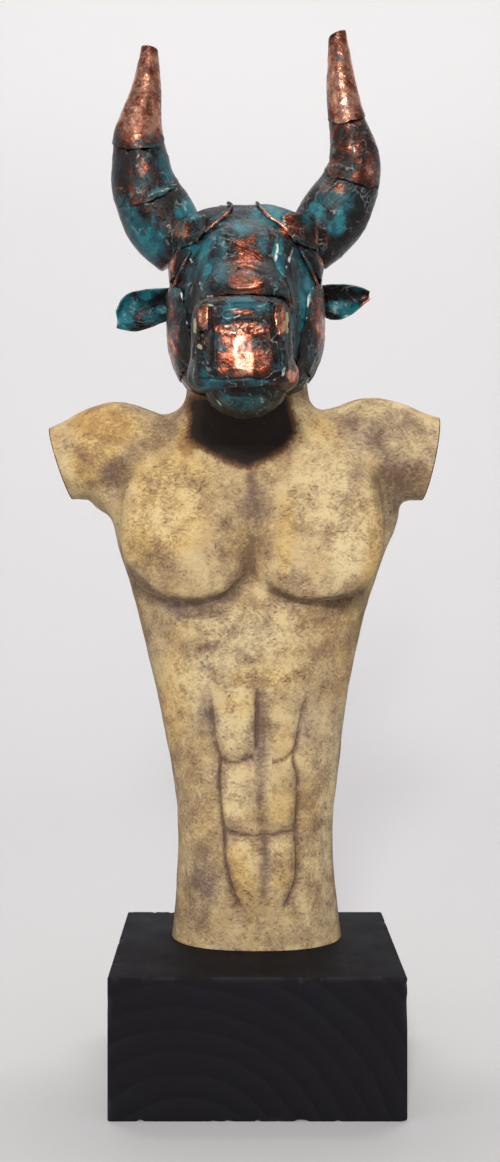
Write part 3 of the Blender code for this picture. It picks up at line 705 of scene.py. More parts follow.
def painted_plaster():
    """Cast plaster under brushed acrylic: matt and chalky, short brush strokes about a millimetre wide that
    run in patches of one direction, dark specks, and a violet-brown wash that stays in the hollows. The wash
    also carries painted shade, and the soot the head's painted shadow on the throat."""
    made, tree, shader = new_finish("painted_plaster")
    place = add(tree, "TexCoord").outputs["Object"]
    marks = {}
    for name in ("wash", "ochre", "soot", "pale"):
        marks[name] = add(tree, "Attribute", attribute_name=name).outputs["Fac"]
    cloud = add(tree, "TexNoise", {"Vector": place, "Scale": 75.0, "Detail": 6.0, "Roughness": 0.65})
    slow = add(tree, "TexNoise", {"Vector": place, "Scale": 22.0, "Detail": 4.0, "Roughness": 0.55})
    fine = add(tree, "TexNoise", {"Vector": place, "Scale": 900.0, "Detail": 4.0, "Roughness": 0.7})
    lain = []
    for turn in STROKE_TURNS:
        lay = {"Vector": place, "Rotation": (0.0, turn, 0.0), "Scale": (1.0, 1.0, 2.2)}
        lay = add(tree, "Mapping", lay, vector_type="TEXTURE")
        lain.append(add(tree, "TexNoise", {"Vector": lay, "Scale": 640.0, "Detail": 3.0, "Roughness": 0.6}))
    strokes = lain[0]
    for number, other in enumerate(lain[1:], 1):
        where = add(tree, "TexNoise", {"Vector": place, "Scale": 80.0 + 31 * number, "Detail": 1.0})
        chosen = add(tree, "MapRange", {"Value": where, 1: 0.47, 2: 0.53, 3: 0.0, 4: 1.0})
        strokes = add(tree, "Mix", {0: chosen, 2: strokes, 3: other})
    tone = add(tree, "MapRange", {"Value": slow, 1: 0.35, 2: 0.66, 3: 0.0, 4: 1.0})
    mottle = add(tree, "Mix", {0: 0.55, 2: strokes, 3: cloud})
    mottle = add(tree, "Math", {0: mottle, 1: -0.5}, operation="ADD")
    marks["veil"] = add(tree, "Math", {0: tone, 1: -0.04}, operation="MULTIPLY")
    marks["fleck"] = add(tree, "Math", {0: cloud, 1: 0.3, 2: strokes}, operation="MULTIPLY_ADD")
    wash = add(tree, "Mix", {0: tone, 6: WASH_BROWN, 7: WASH_VIOLET}, data_type="RGBA").outputs[2]
    colour = add(tree, "Mix", {0: tone, 6: IVORY, 7: IVORY_PALE}, data_type="RGBA").outputs[2]
    cover = {}
    for name, sway, low, high, most, paint in PAINT_COATS:
        spread = add(tree, "Math", {0: mottle, 1: sway, 2: marks[name]}, operation="MULTIPLY_ADD")
        cover[name] = add(tree, "MapRange", {"Value": spread, 1: low, 2: high, 3: 0.0, 4: most})
        coat = {0: cover[name], 6: colour, 7: paint or wash}
        colour = add(tree, "Mix", coat, data_type="RGBA").outputs[2]
    high = add(tree, "Mix", {0: 0.45, 2: strokes, 3: fine})
    high = add(tree, "Math", {0: cover["fleck"], 1: -0.35, 2: high}, operation="MULTIPLY_ADD")
    bump = add(tree, "Bump", {"Height": high, "Strength": 0.5, "Distance": 0.0007})
    feed(tree, shader, {"Base Color": colour, "Roughness": 0.72, "Specular IOR Level": 0.3, "Normal": bump})
    return made


def make_torso(around=300, levels=309):
    """The torso: rays from its axis that dip below the chest and arms, then fan out upwards, end on the
    melted shapes; grooves, creases and the carver's unevenness are then cut along the normals."""
    share, height, front_tilt, side_tilt = np.array(TORSO_RAYS).T
    at = np.linspace(0, 1, levels)
    heights = np.interp(at, share, height)
    azimuth = turn_from_back(around, 0.42)
    fore = np.clip(0.5 - 0.9 * np.sin(azimuth), 0, 1) ** 2
    tilts = [np.interp(at, share, tilt)[:, None] for tilt in (side_tilt, front_tilt)]
    tilt = tilts[0] * (1 - fore) + tilts[1] * fore
    origins = np.stack([0 * heights - 2, 0 * heights + 20, heights], -1)[:, None]
    grid = cast_finely(torso, origins, ways_of(azimuth, np.radians(tilt)), 200)
    normals = normals_of(grid)
    place = seen(grid)
    ahead = ease(-normals[..., 1], 0.05, 0.5)
    hollow = np.clip(1 - torso(grid + 7 * normals) / 7, 0, 1)
    bands = np.max([furrow(place, (line,), width, 0.15) for line, width in CENTRE_BANDS], axis=0) * ahead
    pads = ovals(place, PAD_MIDDLES, power=3.0, inner=0.7, outer=1.15) * ahead
    cut, held, sooty = 0.8 * bands - 1.0 * pads, 0.62 * bands - 0.04 * pads, 0 * pads
    for lines, width, fade, below, depth, dark, black in CARVED_LINES:
        line = furrow(place - (0, below), lines, width, fade) * ahead
        cut, held, sooty = cut + depth * line, held + dark * line, sooty + black * line
    uneven = 0.5 * grain(grid, 26, 11, 2) + 0.16 * grain(grid, 7, 12, 2)
    foot = np.exp(-grid[..., 2] / 2.6)
    crumble = 1.5 * foot * ease(grain(grid, 4.5, 13, 2), -0.3, 0.7)
    grid = grid + normals * ((uneven - 0.5) * ease(grid[..., 2], 0, 12) - cut - crumble)[..., None]
    grid[..., 2] = np.maximum(grid[..., 2], 0)
    # Painted shade: the wash thickens where the surface turns aside from the front, darkening the flanks.
    edge = np.exp(-((np.clip(-normals[..., 1], 0, 1) / 0.34) ** 2)) * ease(-normals[..., 1], -0.5, -0.1)
    wash = 0.18 + 0.20 * grain(grid, 22, 14, 3) + held + 0.8 * ease(hollow, 0.15, 0.8) + 0.42 * edge
    # The spots add wash and painted shade, and the wash deepens over the lower belly as painted shade.
    wash += ovals(place, WASH_SPOTS) * ahead + 0.10 * (1 - ease(grid[..., 2], *WAIST_SHADE))
    # Painted shadow: the head's shadow on the throat inside the outline, painted shade up the neck under the
    # head, and the carved lines' soot with the undercut's painted shade.
    soot = 0.85 * within(place, THROAT_OUTLINE, 8.5) * ahead + 0.4 * ease(grid[..., 2], *NECK_SOOT) + sooty
    ochre = ovals(place, OCHRE_SPOTS) * ahead + 0.15 * pads + 0.3 * ease(grain(grid, 40, 15, 2), 0.1, 0.8)
    pale = 0.3 * ease(grain(grid, 34, 16, 2), 0.2, 0.8) + ovals(place, PALE_SPOTS) * ahead
    pale += 0.3 * foot
    wash, ochre = wash * (1 - 0.6 * foot), ochre * (1 - foot)
    marks = {"wash": wash, "ochre": ochre, "soot": soot, "pale": pale}
    grid = np.concatenate([pole(grid[:1]), grid])
    marks = {name: np.concatenate([mark[:1], mark]) for name, mark in marks.items()}
    body = make_piece("plaster_torso", grid + (0, 0, FOOT), marks, painted_plaster())
    for point, normal in ARM_CUTS:
        saw_off(body.data, point, normal)
    body.data.set_sharp_from_angle(angle=np.radians(50))
    return body


fix(make_torso(), "plaster", "torso")

# The skull: thin copper sheets hammered over a light core and soldered edge to edge, heated and then
# pickled, so that the copper goes from bare pink through brown to black, with verdigris in the hollows.
HEAD_X = -7.7
HEAD_MIDDLE = (0, -30, 455)
# Middles, radii and squareness of shapes, and the reach over which each melts into those before it.
HEAD_SHAPES = (
    ((0, -3, 493), (52, 44, 37), 3.0, 8),
    ((0, 22, 470), (42, 34, 50), 2.3, 14),
    ((-29, -12, 451), (24.5, 48, 57), 2.3, 8),
    ((29, -12, 451), (24.5, 48, 57), 2.3, 8),
    ((0, -50, 462), (35, 37, 44), 2.6, 12),
    ((0, -76, 430), (32, 34, 40), 2.8, 10),
    ((0, -30, 420), (38, 42, 30), 2.4, 12),
)
MUZZLE_BACK = -84.0
HEAT_COLOURS = (
    (0.0, "#14100f"),
    (0.20, "#241b19"),
    (0.38, "#3b261f"),
    (0.56, "#673829"),
    (0.78, "#a25a42"),
    (1.0, "#e0a083"),
)
VERDIGRIS_COLOURS = ((0.15, "#0a1e22"), (0.45, "#0d343b"), (0.75, "#124a53"), (1.0, "#216b75"))
# Marks of the copper, with what their levels are made of: a share of the mark, noise that swings about
# its middle, and a start. The ranges say between which levels a mark comes to cover.
MARK_LEVELS = (
    ("bare", 0.82, 2.1, 0.10),
    ("green", 0.74, 2.5, 0.17),
    ("soot", 1.0, 1.8, 0.0),
    ("pale", 0.8, 3.0, 0.0),
    ("core", 1.0, 0.6, 0.0),
)
COVER_RANGES = (("green", 0.10, 0.6), ("soot", 0.35, 1.0), ("pale", 0.4, 0.8), ("core", 0.4, 0.6))
# What lies over the copper and its verdigris, in turn: soot, with painted shade in it, rubbed wrinkles,
# solder, with painted highlights and glints in it, and bared core.
COPPER_COATS = (("soot", "#0e0b0b"), ("rubbed", "#8e9a98"), ("pale", "#c6cfca"), ("core", "#8f8968"))
SKULL_SEAMS = (
    ((189, 253), (185, 264), (180, 278)),
    ((190, 257), (196, 270), (205, 296)),
    ((277, 232), (277, 250), (274, 274), (276, 294)),
    ((293, 246), (288, 262), (282, 278)),
)
SKULL_GREEN = (
    (274, 214, 24, 11, 4, 0.9),
    (236, 222, 18, 10, 0, 0.5),
    (208, 268, 9, 26, 0, 0.75),
    (278, 262, 6, 30, 0, 0.95),
    (284, 220, 18, 10, 20, 0.8),
    (303, 270, 9, 20, 0, 0.35),
    (306, 305, 8, 32, 12, 0.9),
    (190, 250, 8, 8, 0, 0.7),
    (296, 345, 5, 22, 0, 0.9),
    (188, 318, 5, 44, 0, 0.5),
)
SKULL_BARE = (
    (289, 232, 11, 4, 20, 0.95),
    (300, 244, 3.5, 10, -28, 0.9),
    (222, 222, 12, 3, -20, 0.5),
    (316, 228, 6, 12, 0, 0.6),
)
SKULL_SOOT = (
    (206, 212, 20, 8, 0, 0.7),
    (234, 216, 16, 12, 0, 0.6),
    (216, 258, 8, 20, 0, 0.7),
    (268, 274, 6, 24, 0, 1.0),
    (193, 300, 8, 26, 0, 0.85),
    (295, 268, 9, 18, 0, 0.6),
    (200, 345, 20, 50, 0, 0.9),
    (292, 360, 10, 40, 0, 0.9),
)


def blended(shapes):
    """A distance function for shapes given as middle, radii, squareness and reach, melted in turn."""

    def distance(p):
        d = swollen(p, *shapes[0][:3])
        for middle, radii, power, reach in shapes[1:]:
            d = melt(d, swollen(p, middle, radii, power), reach)
        return d

    return distance


def skull_shape(p):
    """Near distance to the skull: its melted shapes, cut off at the muzzle's back with a rounded edge."""
    return -melt(-blended(HEAD_SHAPES)(p), p[..., 1] - MUZZLE_BACK, 2.0)


def star_grid(shape, middle, around, levels, crowding=0.42, reach=130):
    """A body seen from its own middle: rays once around and from straight down to straight up."""
    elevation = np.linspace(-np.pi / 2, np.pi / 2, levels)[:, None]
    ways = ways_of(turn_from_back(around, crowding), elevation)
    return cast_finely(shape, middle, ways, reach)


def hammered(p, seed):
    """How a beaten sheet rises and dips, in millimetres: long waves, blows about 9 mm wide, and the sharp
    crests of the wrinkles left between them."""
    crest = np.clip(1 - 2.6 * np.abs(grain(p, 17, seed + 3, 2)), 0, 1) ** 2
    blows = 0.45 * grain(p, 24, seed) + 0.32 * grain(p, 9, seed + 1) + 0.12 * grain(p, 4, seed + 2)
    return blows + 0.6 * crest - 0.2


def dressed(p, normals, spots, seed, keep=0.5, depth=1.0):
    """A copper piece's relief and marks. Away from the front, noise 34 and 12 mm wide says where it is green
    or bare; on the front the listed spots do, their outlines ragged, and a share of the noise is kept. High
    places are rubbed bare, low ones stay green. The depth scales the hammering."""
    rise = depth * hammered(p, seed + 3)
    ragged = np.stack([grain(p, 13, seed + 5, 3), grain(p, 13, seed + 6, 3)], -1) * 4.0
    place = seen(p) + ragged
    ahead = ease(-normals[..., 1], 0.0, 0.35)
    cloud = grain(p, 34, seed, 2) + 0.5 * grain(p, 12, seed + 1, 2)
    left = 1 - ahead * (1 - keep)
    marks = {
        "bare": 0.70 * ease(-cloud, 0.15, 0.9) * left + 0.22 * ease(rise, 0.15, 0.8),
        "green": 0.75 * ease(cloud, 0.0, 0.8) * left + 0.22 * ease(-rise, 0.05, 0.6),
        "soot": 0.30 * left,
        "pale": 0 * ahead,
        "core": 0 * ahead,
    }
    for name, listed in spots.items():
        marks[name] = marks[name] + ovals(place, listed) * ahead
    return marks, rise


def patinated_copper():
    """Sheet copper, beaten, torch-heated and pickled: where it is rubbed bare it is pink and glossy, and it
    darkens through red-brown to a black skin; verdigris lies over it as a blue-green crust; fine wrinkles
    a few millimetres apart are rubbed bright. Its soot mark also carries painted shade, and its bare and
    pale marks carry painted highlights and glints."""
    made, tree, shader = new_finish("patinated_copper_sheet")
    place = add(tree, "TexCoord").outputs["Object"]
    bend = add(tree, "TexNoise", {"Vector": place, "Scale": 50.0, "Detail": 3.0})
    bend = add(tree, "VectorMath", {0: bend.outputs["Color"], 1: (0.02,) * 3}, operation="MULTIPLY")
    bent = add(tree, "VectorMath", {0: place, 1: bend}, operation="ADD")
    cloud = add(tree, "TexNoise", {"Vector": bent, "Scale": 110.0, "Detail": 5.0, "Roughness": 0.6})
    crust = add(tree, "TexNoise", {"Vector": place, "Scale": 520.0, "Detail": 5.0, "Roughness": 0.7})
    both = {0: 0.24, 6: cloud.outputs["Color"], 7: crust.outputs["Color"]}
    both = add(tree, "Mix", both, data_type="RGBA").outputs[2]
    parted = add(tree, "SeparateColor", {0: both}).outputs
    level = {}
    for (name, share, swing, start), channel in zip(MARK_LEVELS, (0, 1, 2, 0, 2)):
        mark = add(tree, "Attribute", attribute_name=name).outputs["Fac"]
        push = add(tree, "Math", {0: mark, 1: share, 2: start - swing / 2}, operation="MULTIPLY_ADD")
        level[name] = add(tree, "Math", {0: parted[channel], 1: swing, 2: push}, operation="MULTIPLY_ADD")
    folds = add(tree, "TexNoise", {"Vector": bent, "Scale": 75.0, "Detail": 2.0, "Roughness": 0.5})
    folds = add(tree, "Math", {0: folds, 1: -0.5}, operation="ADD")
    folds = add(tree, "Math", {0: folds}, operation="ABSOLUTE")
    folds = add(tree, "MapRange", {"Value": folds, 1: 0.0, 2: 0.022, 3: 1.0, 4: 0.0})
    rubbed = add(tree, "MapRange", {"Value": parted[2], 1: 0.47, 2: 0.6, 3: 0.0, 4: 0.6})
    cover = {"rubbed": add(tree, "Math", {0: rubbed, 1: folds}, operation="MULTIPLY")}
    for name, low, high in COVER_RANGES:
        cover[name] = add(tree, "MapRange", {"Value": level[name], 1: low, 2: high, 3: 0.0, 4: 1.0})
    colour = add(tree, "ValToRGB", {0: level["bare"]}, stops=HEAT_COLOURS)
    green = add(tree, "ValToRGB", {0: level["green"]}, stops=VERDIGRIS_COLOURS)
    for name, over in (("green", green), *COPPER_COATS):
        colour = add(tree, "Mix", {0: cover[name], 6: colour, 7: over}, data_type="RGBA").outputs[2]
    metal = add(tree, "MapRange", {"Value": level["bare"], 1: 0.2, 2: 0.6, 3: 0.6, 4: 1.0})
    for name, share in (("green", 0.85), ("soot", 0.6), ("pale", 0.2), ("core", 1.0)):
        less = add(tree, "Math", {0: cover[name], 1: -share, 2: 1.0}, operation="MULTIPLY_ADD")
        metal = add(tree, "Math", {0: metal, 1: less}, operation="MULTIPLY")
    rough = add(tree, "MapRange", {"Value": crust, 1: 0.3, 2: 0.7, 3: 0.13, 4: 0.34})
    for name, matt in (("green", 0.32), ("core", 0.9), ("soot", 0.5)):
        rough = add(tree, "Mix", {0: cover[name], 2: rough, 3: matt})
    high = add(tree, "Mix", {0: 0.35, 2: cloud, 3: crust})
    high = add(tree, "Math", {0: folds, 1: 0.12, 2: high}, operation="MULTIPLY_ADD")
    steep = add(tree, "MapRange", {"Value": level["bare"], 1: 0.3, 2: 0.9, 3: 0.75, 4: 0.3})
    bump = add(tree, "Bump", {"Height": high, "Strength": steep, "Distance": 0.002})
    feed(tree, shader, {"Base Color": colour, "Metallic": metal, "Roughness": rough, "Normal": bump})
    feed(tree, shader, {"Specular IOR Level": 0.3})
    return made


COPPER = patinated_copper()


def make_skull():
    """The skull's sheets: the melted shapes, beaten, with the solder of each seam standing up a little."""
    grid = star_grid(skull_shape, HEAD_MIDDLE, around=300, levels=189) + (HEAD_X, 0, 0)
    normals = normals_of(grid)
    spots = {"green": SKULL_GREEN, "bare": SKULL_BARE, "soot": SKULL_SOOT}
    marks, rise = dressed(grid, normals, spots, seed=21)
    ahead = ease(-normals[..., 1], 0.0, 0.35)
    beads = furrow(seen(grid), SKULL_SEAMS, 1.3, 0.1) * ahead
    beads *= ease(grain(grid, 4, 31, 2), -0.7, 0.5)
    grid = grid + normals * (rise + 1.2 * beads)[..., None]
    marks["pale"] += 1.0 * beads
    return make_piece("skull_sheets", grid + (0, 0, FOOT), marks, COPPER)


fix(make_skull(), "dark_copper", "head")

# The muzzle: one sheet folded into a box over the core, its front beaten smooth and left bare, its sides
# rolled back in bands, one of them torn, and a rough run of solder along the fold below the nose.
MUZZLE_MIDDLE = (-3, -92, 418)
MUZZLE_SHAPES = (
    ((-3, -93.4, 416), (32.5, 26.2, 30.6), 4.4, 5),
    ((-2, -89.6, 397), (36, 24, 12), 2.6, 7),
)
MOUTH_HEIGHT = 387.0
# The front falls back to both sides of its middle: by the bow at half its width, and at most by half as
# much again.
MUZZLE_BOW = 1.2
BOW_MIDDLE = 243
BOW_HALF_WIDTH = 27
SOLDER_RUN = (((213, 324), (224, 327), (240, 329), (256, 331), (268, 332)),)
LEDGE_LOOP = (
    ((271, 303), (254, 306), (238, 308), (227, 309), (222, 313), (225, 317.5), (234, 317), (242, 313.5)),
)
MUZZLE_FOLDS = (
    ((209, 302), (211, 320), (212, 345), (208, 372)),
    ((273, 300), (274, 320), (280, 345), (286, 365)),
    ((190, 379), (215, 381), (245, 379), (270, 381), (284, 376)),
)
MUZZLE_BANDS = ((202.5, 317, 6.5, 15, 0, 1.0), (281, 319, 6, 18, 0, 1.0))
MUZZLE_HOLE = ((200, 335, 4.5, 6, 25, 1.0),)
MUZZLE_LEDGE = ((242, 311, 30, 9, 1, 1.0),)
MUZZLE_BARE = (
    (243, 355, 12, 25, 0, 1.0),
    (226, 356, 9, 22, 0, 0.6),
    (263, 356, 11, 22, 0, 0.52),
    (203, 315, 6.5, 12, 0, 1.0),
    (282, 320, 6.5, 18, 0, 0.95),
    (240, 329, 30, 6, 2, 0.85),
    (243, 311, 13, 3, 0, 0.6),
    (295, 378, 6, 9, -25, 1.0),
    (282, 387, 12, 3, 4, 0.5),
    (200, 336, 8, 9, 0, 0.45),
)
MUZZLE_GREEN = (
    (243, 355, 26, 23, 0, -0.45),
    (244, 304, 26, 5, 0, 0.8),
    (226, 314, 8, 6, 0, 0.4),
    (235, 384, 40, 5, 0, 0.55),
    (203, 376, 10, 12, 0, 0.45),
    (284, 364, 4, 10, 0, 0.6),
    (215, 340, 5, 10, 0, 0.5),
)
MUZZLE_SOOT = (
    (211, 356, 6, 22, 0, 0.8),
    (280, 350, 6, 14, 0, 0.8),
    (240, 388, 40, 3, 0, 0.8),
    (213, 322, 4, 16, 0, 0.5),
)
MUZZLE_PALE = (
    (240, 329, 24, 2.5, 3, 0.55),
    # A painted highlight: a glint low on the right side.
    (285, 370, 2.5, 7, 8, 0.7),
    (189, 370, 1.4, 20, 8, 0.6),
    (206, 302, 10, 1.5, 0, 0.5),
    # A painted glint above the right band.
    (284, 298, 3.5, 2, 0, 0.6),
)
MUZZLE_CORE = ((191, 325, 2.2, 9, 0, 0.9), (198, 346, 4, 3, 20, 0.62), (290, 322, 2, 12, 0, 0.9))


def muzzle_shape(p):
    """Near distance to the muzzle: its box and its lip, cut off behind and at the mouth."""
    d = np.maximum(blended(MUZZLE_SHAPES)(p), p[..., 1] - MUZZLE_BACK + 0.4)
    return np.maximum(d, MOUTH_HEIGHT - p[..., 2])


def make_muzzle():
    """The muzzle's sheet: beaten, its bands and the solder run standing up, its ledge, folds and torn hole
    let in."""
    grid = star_grid(muzzle_shape, MUZZLE_MIDDLE, around=300, levels=189, reach=80) + (HEAD_X, 0, 0)
    normals = normals_of(grid)
    spots = {"green": MUZZLE_GREEN, "soot": MUZZLE_SOOT, "pale": MUZZLE_PALE}
    marks, rise = dressed(grid, normals, spots, seed=41, keep=0.1, depth=0.55)
    ragged = np.stack([grain(grid, 6, 47, 3), grain(grid, 6, 48, 3)], -1) * 1.3
    place = seen(grid) + ragged
    ahead = ease(-normals[..., 1], 0.0, 0.35)
    marks["bare"] += ovals(place, MUZZLE_BARE, power=2.6, inner=0.6, outer=1.35) * ahead
    marks["core"] += ovals(place, MUZZLE_CORE, power=3.0, inner=0.8, outer=1.1) * ahead
    bands = ovals(place, MUZZLE_BANDS, power=5.0, inner=0.85, outer=1.08) * ahead
    hole = ovals(place, MUZZLE_HOLE, power=2.0, inner=0.6, outer=1.1) * ahead
    ledge = ovals(place, MUZZLE_LEDGE, power=5.0, inner=0.9, outer=1.08) * ahead
    run = furrow(seen(grid), SOLDER_RUN, 4.2, 0.1) * ahead
    lumps = ease(grain(grid, 2.6, 51, 2), -0.6, 0.8)
    loop = furrow(seen(grid), LEDGE_LOOP, 1.1, 0.05) * ahead
    folds = furrow(place, MUZZLE_FOLDS, 1.3, 0.1) * ahead
    rise -= MUZZLE_BOW * np.minimum(((place[..., 0] - BOW_MIDDLE) / BOW_HALF_WIDTH) ** 2, 1.5) * ahead
    rise += 2.2 * run * lumps + 0.8 * loop + 1.0 * bands - 1.2 * folds - 1.6 * ledge - 3.2 * hole
    rise -= 0.8 * marks["core"] * ahead
    grid = grid + normals * rise[..., None]
    marks["pale"] += 0.6 * loop + 0.35 * run * ease(lumps, 0.4, 0.9)
    marks["bare"] += 0.5 * run * lumps - 0.9 * hole - 0.4 * folds
    marks["green"] += 0.5 * loop - 0.5 * bands
    marks["soot"] += 0.6 * folds + 0.8 * hole
    return make_piece("muzzle_sheet", grid + (0, 0, FOOT), marks, COPPER)


fix(make_muzzle(), "bright_copper", "muzzle")

# The lower lip and jaw: a bowl of sheet beaten over the core, with a rolled rim, gone bright blue-green.
JAW_MIDDLE = (0, -73, 393)
JAW_SHAPES = (((0, -73, 393), (27.5, 36, 20.6), 2.05, 5),)
JAW_GREEN = ((242, 402, 28, 10, 0, 1.0), (222, 408, 10, 5, 20, 0.4), (262, 402, 10, 7, -20, 0.7))
JAW_SOOT = ((240, 393, 30, 3, 0, 0.9), (212, 398, 8, 8, 0, 0.7), (276, 398, 6, 8, 0, 0.7))
# Painted glints: pale spots on the lip where the light catches it.
JAW_PALE = ((219, 405, 1.3, 6, -28, 0.8), (262, 398, 2.5, 2, 0, 0.6), (266, 406, 2, 3, 30, 0.5))


def make_jaw():
    """The jaw's bowl: its melted shape, beaten, its underside darkened with painted shade."""
    grid = star_grid(blended(JAW_SHAPES), JAW_MIDDLE, around=220, levels=121, reach=80) + (HEAD_X, 0, 0)
    normals = normals_of(grid)
    spots = {"green": JAW_GREEN, "soot": JAW_SOOT, "pale": JAW_PALE}
    marks, rise = dressed(grid, normals, spots, seed=61, keep=0.3)
    # Painted shade: the underside is darkened as soot, and no bare copper shows there.
    below = ease(-normals[..., 2], 0.5, 0.9)
    marks["soot"] += 0.7 * below
    marks["bare"] *= 1 - below
    grid = grid + normals * rise[..., None]
    return make_piece("jaw_sheet", grid + (0, 0, FOOT), marks, COPPER)


fix(make_jaw(), "verdigris", "lower_jaw")

# The plates laid over the skull: a wrinkled strip down the nose, big cheek plates, folded brows and eye
# shells, cut from sheet with snips, beaten to the form and soldered on along their edges.
SHEET_THICKNESS = 1.3
NOSE_NET = (
    ((-12, -50, 504), (-1, -52, 505), (10, -50, 504)),
    ((-14, -66, 490), (-1, -70, 491), (12, -66, 490)),
    ((-19, -80, 472), (-1, -86, 473), (17, -80, 472)),
    ((-27, -88, 456), (-1, -96, 457), (24, -88, 456)),
    ((-30, -94, 447), (-1, -104, 447), (27, -94, 447)),
)
NOSE_FOLDS = (
    ((226, 243), (240, 248), (255, 254), (266, 263)),
    ((234, 273), (243, 268), (254, 270), (263, 278)),
    ((224, 288), (238, 291), (254, 290), (266, 287)),
)
NOSE_MARKS = {
    "bare": (
        (243, 246, 14, 9, 6, 0.62),
        (246, 262, 15, 22, 0, 0.62),
        (244, 282, 18, 10, 0, 0.85),
        (240, 296, 34, 3, 0, 0.6),
    ),
    "soot": ((216, 262, 6, 20, 0, 0.5), (269, 268, 7, 24, 0, 1.0), (214, 288, 6, 6, 0, 0.5)),
    "green": (
        (245, 266, 13, 24, 0, -0.4),
        (250, 224, 22, 8, 0, 0.6),
        (217, 256, 8, 24, 0, 0.75),
        (262, 243, 8, 12, 0, 0.5),
    ),
    # The pale spot is a painted highlight on the nose's lower bulge.
    "pale": ((244, 280, 3, 4, 0, 0.2),),
}
CHEEK_NET = (
    ((-45, -56, 462), (-58, -40, 470), (-60, -18, 474), (-58, 4, 474)),
    ((-43, -60, 442), (-60, -42, 446), (-62, -18, 448), (-58, 5, 450)),
    ((-42, -62, 420), (-56, -44, 422), (-58, -20, 424), (-54, 2, 426)),
    ((-39, -58, 403), (-48, -44, 402), (-50, -22, 402), (-48, -2, 404)),
)
CHEEK_BULGE = 1.6
CHEEK_MARKS = {
    "bare": ((170, 325, 7, 36, -6, 0.7), (322, 320, 6, 38, 4, 0.55)),
    "soot": ((184, 345, 6, 34, 0, 0.8), (306, 340, 6, 40, 0, 0.75)),
    "green": ((305, 300, 5, 22, 18, 0.8), (299, 335, 3, 18, 8, 0.9), (180, 292, 10, 6, 0, 0.5)),
    "pale": ((306, 305, 2, 22, 16, 0.5), (186, 296, 2, 14, -12, 0.5)),
}
BROW_NET = (
    ((-30, -46, 528), (-42, -34, 530), (-54, -16, 524)),
    ((-34, -50, 514), (-48, -40, 513), (-60, -20, 511)),
    ((-38, -54, 500), (-52, -42, 500), (-62, -24, 500)),
)
BROW_BULGE = 3.2
BROW_MARKS = {
    "bare": ((179, 228, 9, 9, 0, 1.0), (317, 233, 5, 12, 0, 0.9)),
    # The first soot spot is the left brow plate's shadow, painted as a dark line under it.
    "soot": ((192, 242, 10, 4, 20, 0.8), (200, 226, 6, 8, 0, 0.4)),
    "green": ((196, 216, 8, 5, 0, 0.7), (306, 222, 5, 8, 0, 0.5)),
}
EYE_NET = (
    ((-41, -56, 494), (-50, -42, 497), (-58, -26, 495)),
    ((-44, -54, 486), (-52, -42, 484), (-60, -24, 486)),
    ((-48, -48, 476), (-54, -40, 473), (-59, -28, 476)),
)
EYE_BULGE = 4.0
EYE_MARKS = {
    "bare": ((173, 256, 5, 12, 0, 1.1), (321, 252, 5, 13, 4, 1.2)),
    "soot": ((182, 262, 4, 14, 0, 1.0), (311, 262, 4, 12, 0, 1.0)),
}
EYE_RIM = (
    (-42, -55, 492), (-45, -52, 480), (-51, -44, 467), (-58, -32, 474), (-61, -22, 486), (-60, -18, 494),
)
EYE_WIRE_MARKS = {
    "bare": ((178, 270, 14, 30, 0, 0.7), (320, 262, 14, 30, 0, 0.6)),
    "pale": ((183, 266, 7, 14, 0, 0.5),),
}
WIRE_DIAMETER = 2.6


def onto_head(points):
    """Points pushed along rays from the head's middle onto its melted shapes, and those rays' ways."""
    ways = points - np.array(HEAD_MIDDLE, float)
    ways /= np.linalg.norm(ways, axis=-1, keepdims=True)
    length = cast(blended(HEAD_SHAPES), np.array(HEAD_MIDDLE, float), ways, 130)
    return HEAD_MIDDLE + length[..., None] * ways, ways


def plate_grid(net, rows, columns, bulge, mirrored, seed):
    """A sheet's upper face: the net's smooth surface, its edges ragged from the snips, pushed onto the head
    and swelling in its middle; u and v run from -1 to 1 across it."""
    net = np.array(net, float)
    if mirrored:
        net = net[:, ::-1] * (-1, 1, 1)
    sheet = smooth_path(net, rows)
    sheet = np.swapaxes(smooth_path(np.swapaxes(sheet, 0, 1), columns), 0, 1)
    u = np.linspace(-1, 1, rows)[:, None] + np.zeros(columns)
    v = np.linspace(-1, 1, columns) + np.zeros((rows, 1))
    down, across = np.gradient(sheet, axis=0), np.gradient(sheet, axis=1)
    down /= np.linalg.norm(down, axis=-1, keepdims=True)
    across /= np.linalg.norm(across, axis=-1, keepdims=True)
    jag = grain(sheet, 5, seed, 2)
    sheet = sheet + (jag * (np.abs(u) ** 9 * np.sign(u)))[..., None] * down * 1.1
    sheet = sheet + (jag * (np.abs(v) ** 9 * np.sign(v)))[..., None] * across * 1.1
    surface, ways = onto_head(sheet)
    swell = 1.9 + bulge * (1 - u**2) * (1 - v**2)
    return surface + ways * swell[..., None] + (HEAD_X, 0, 0), u, v


def thicken(leaf, offset):
    """Gives a leaf the sheet's thickness: inwards where the offset is -1, to both sides where it is 0."""
    thickness = leaf.modifiers.new("sheet", "SOLIDIFY")
    thickness.thickness = SHEET_THICKNESS / 1000
    thickness.offset = offset


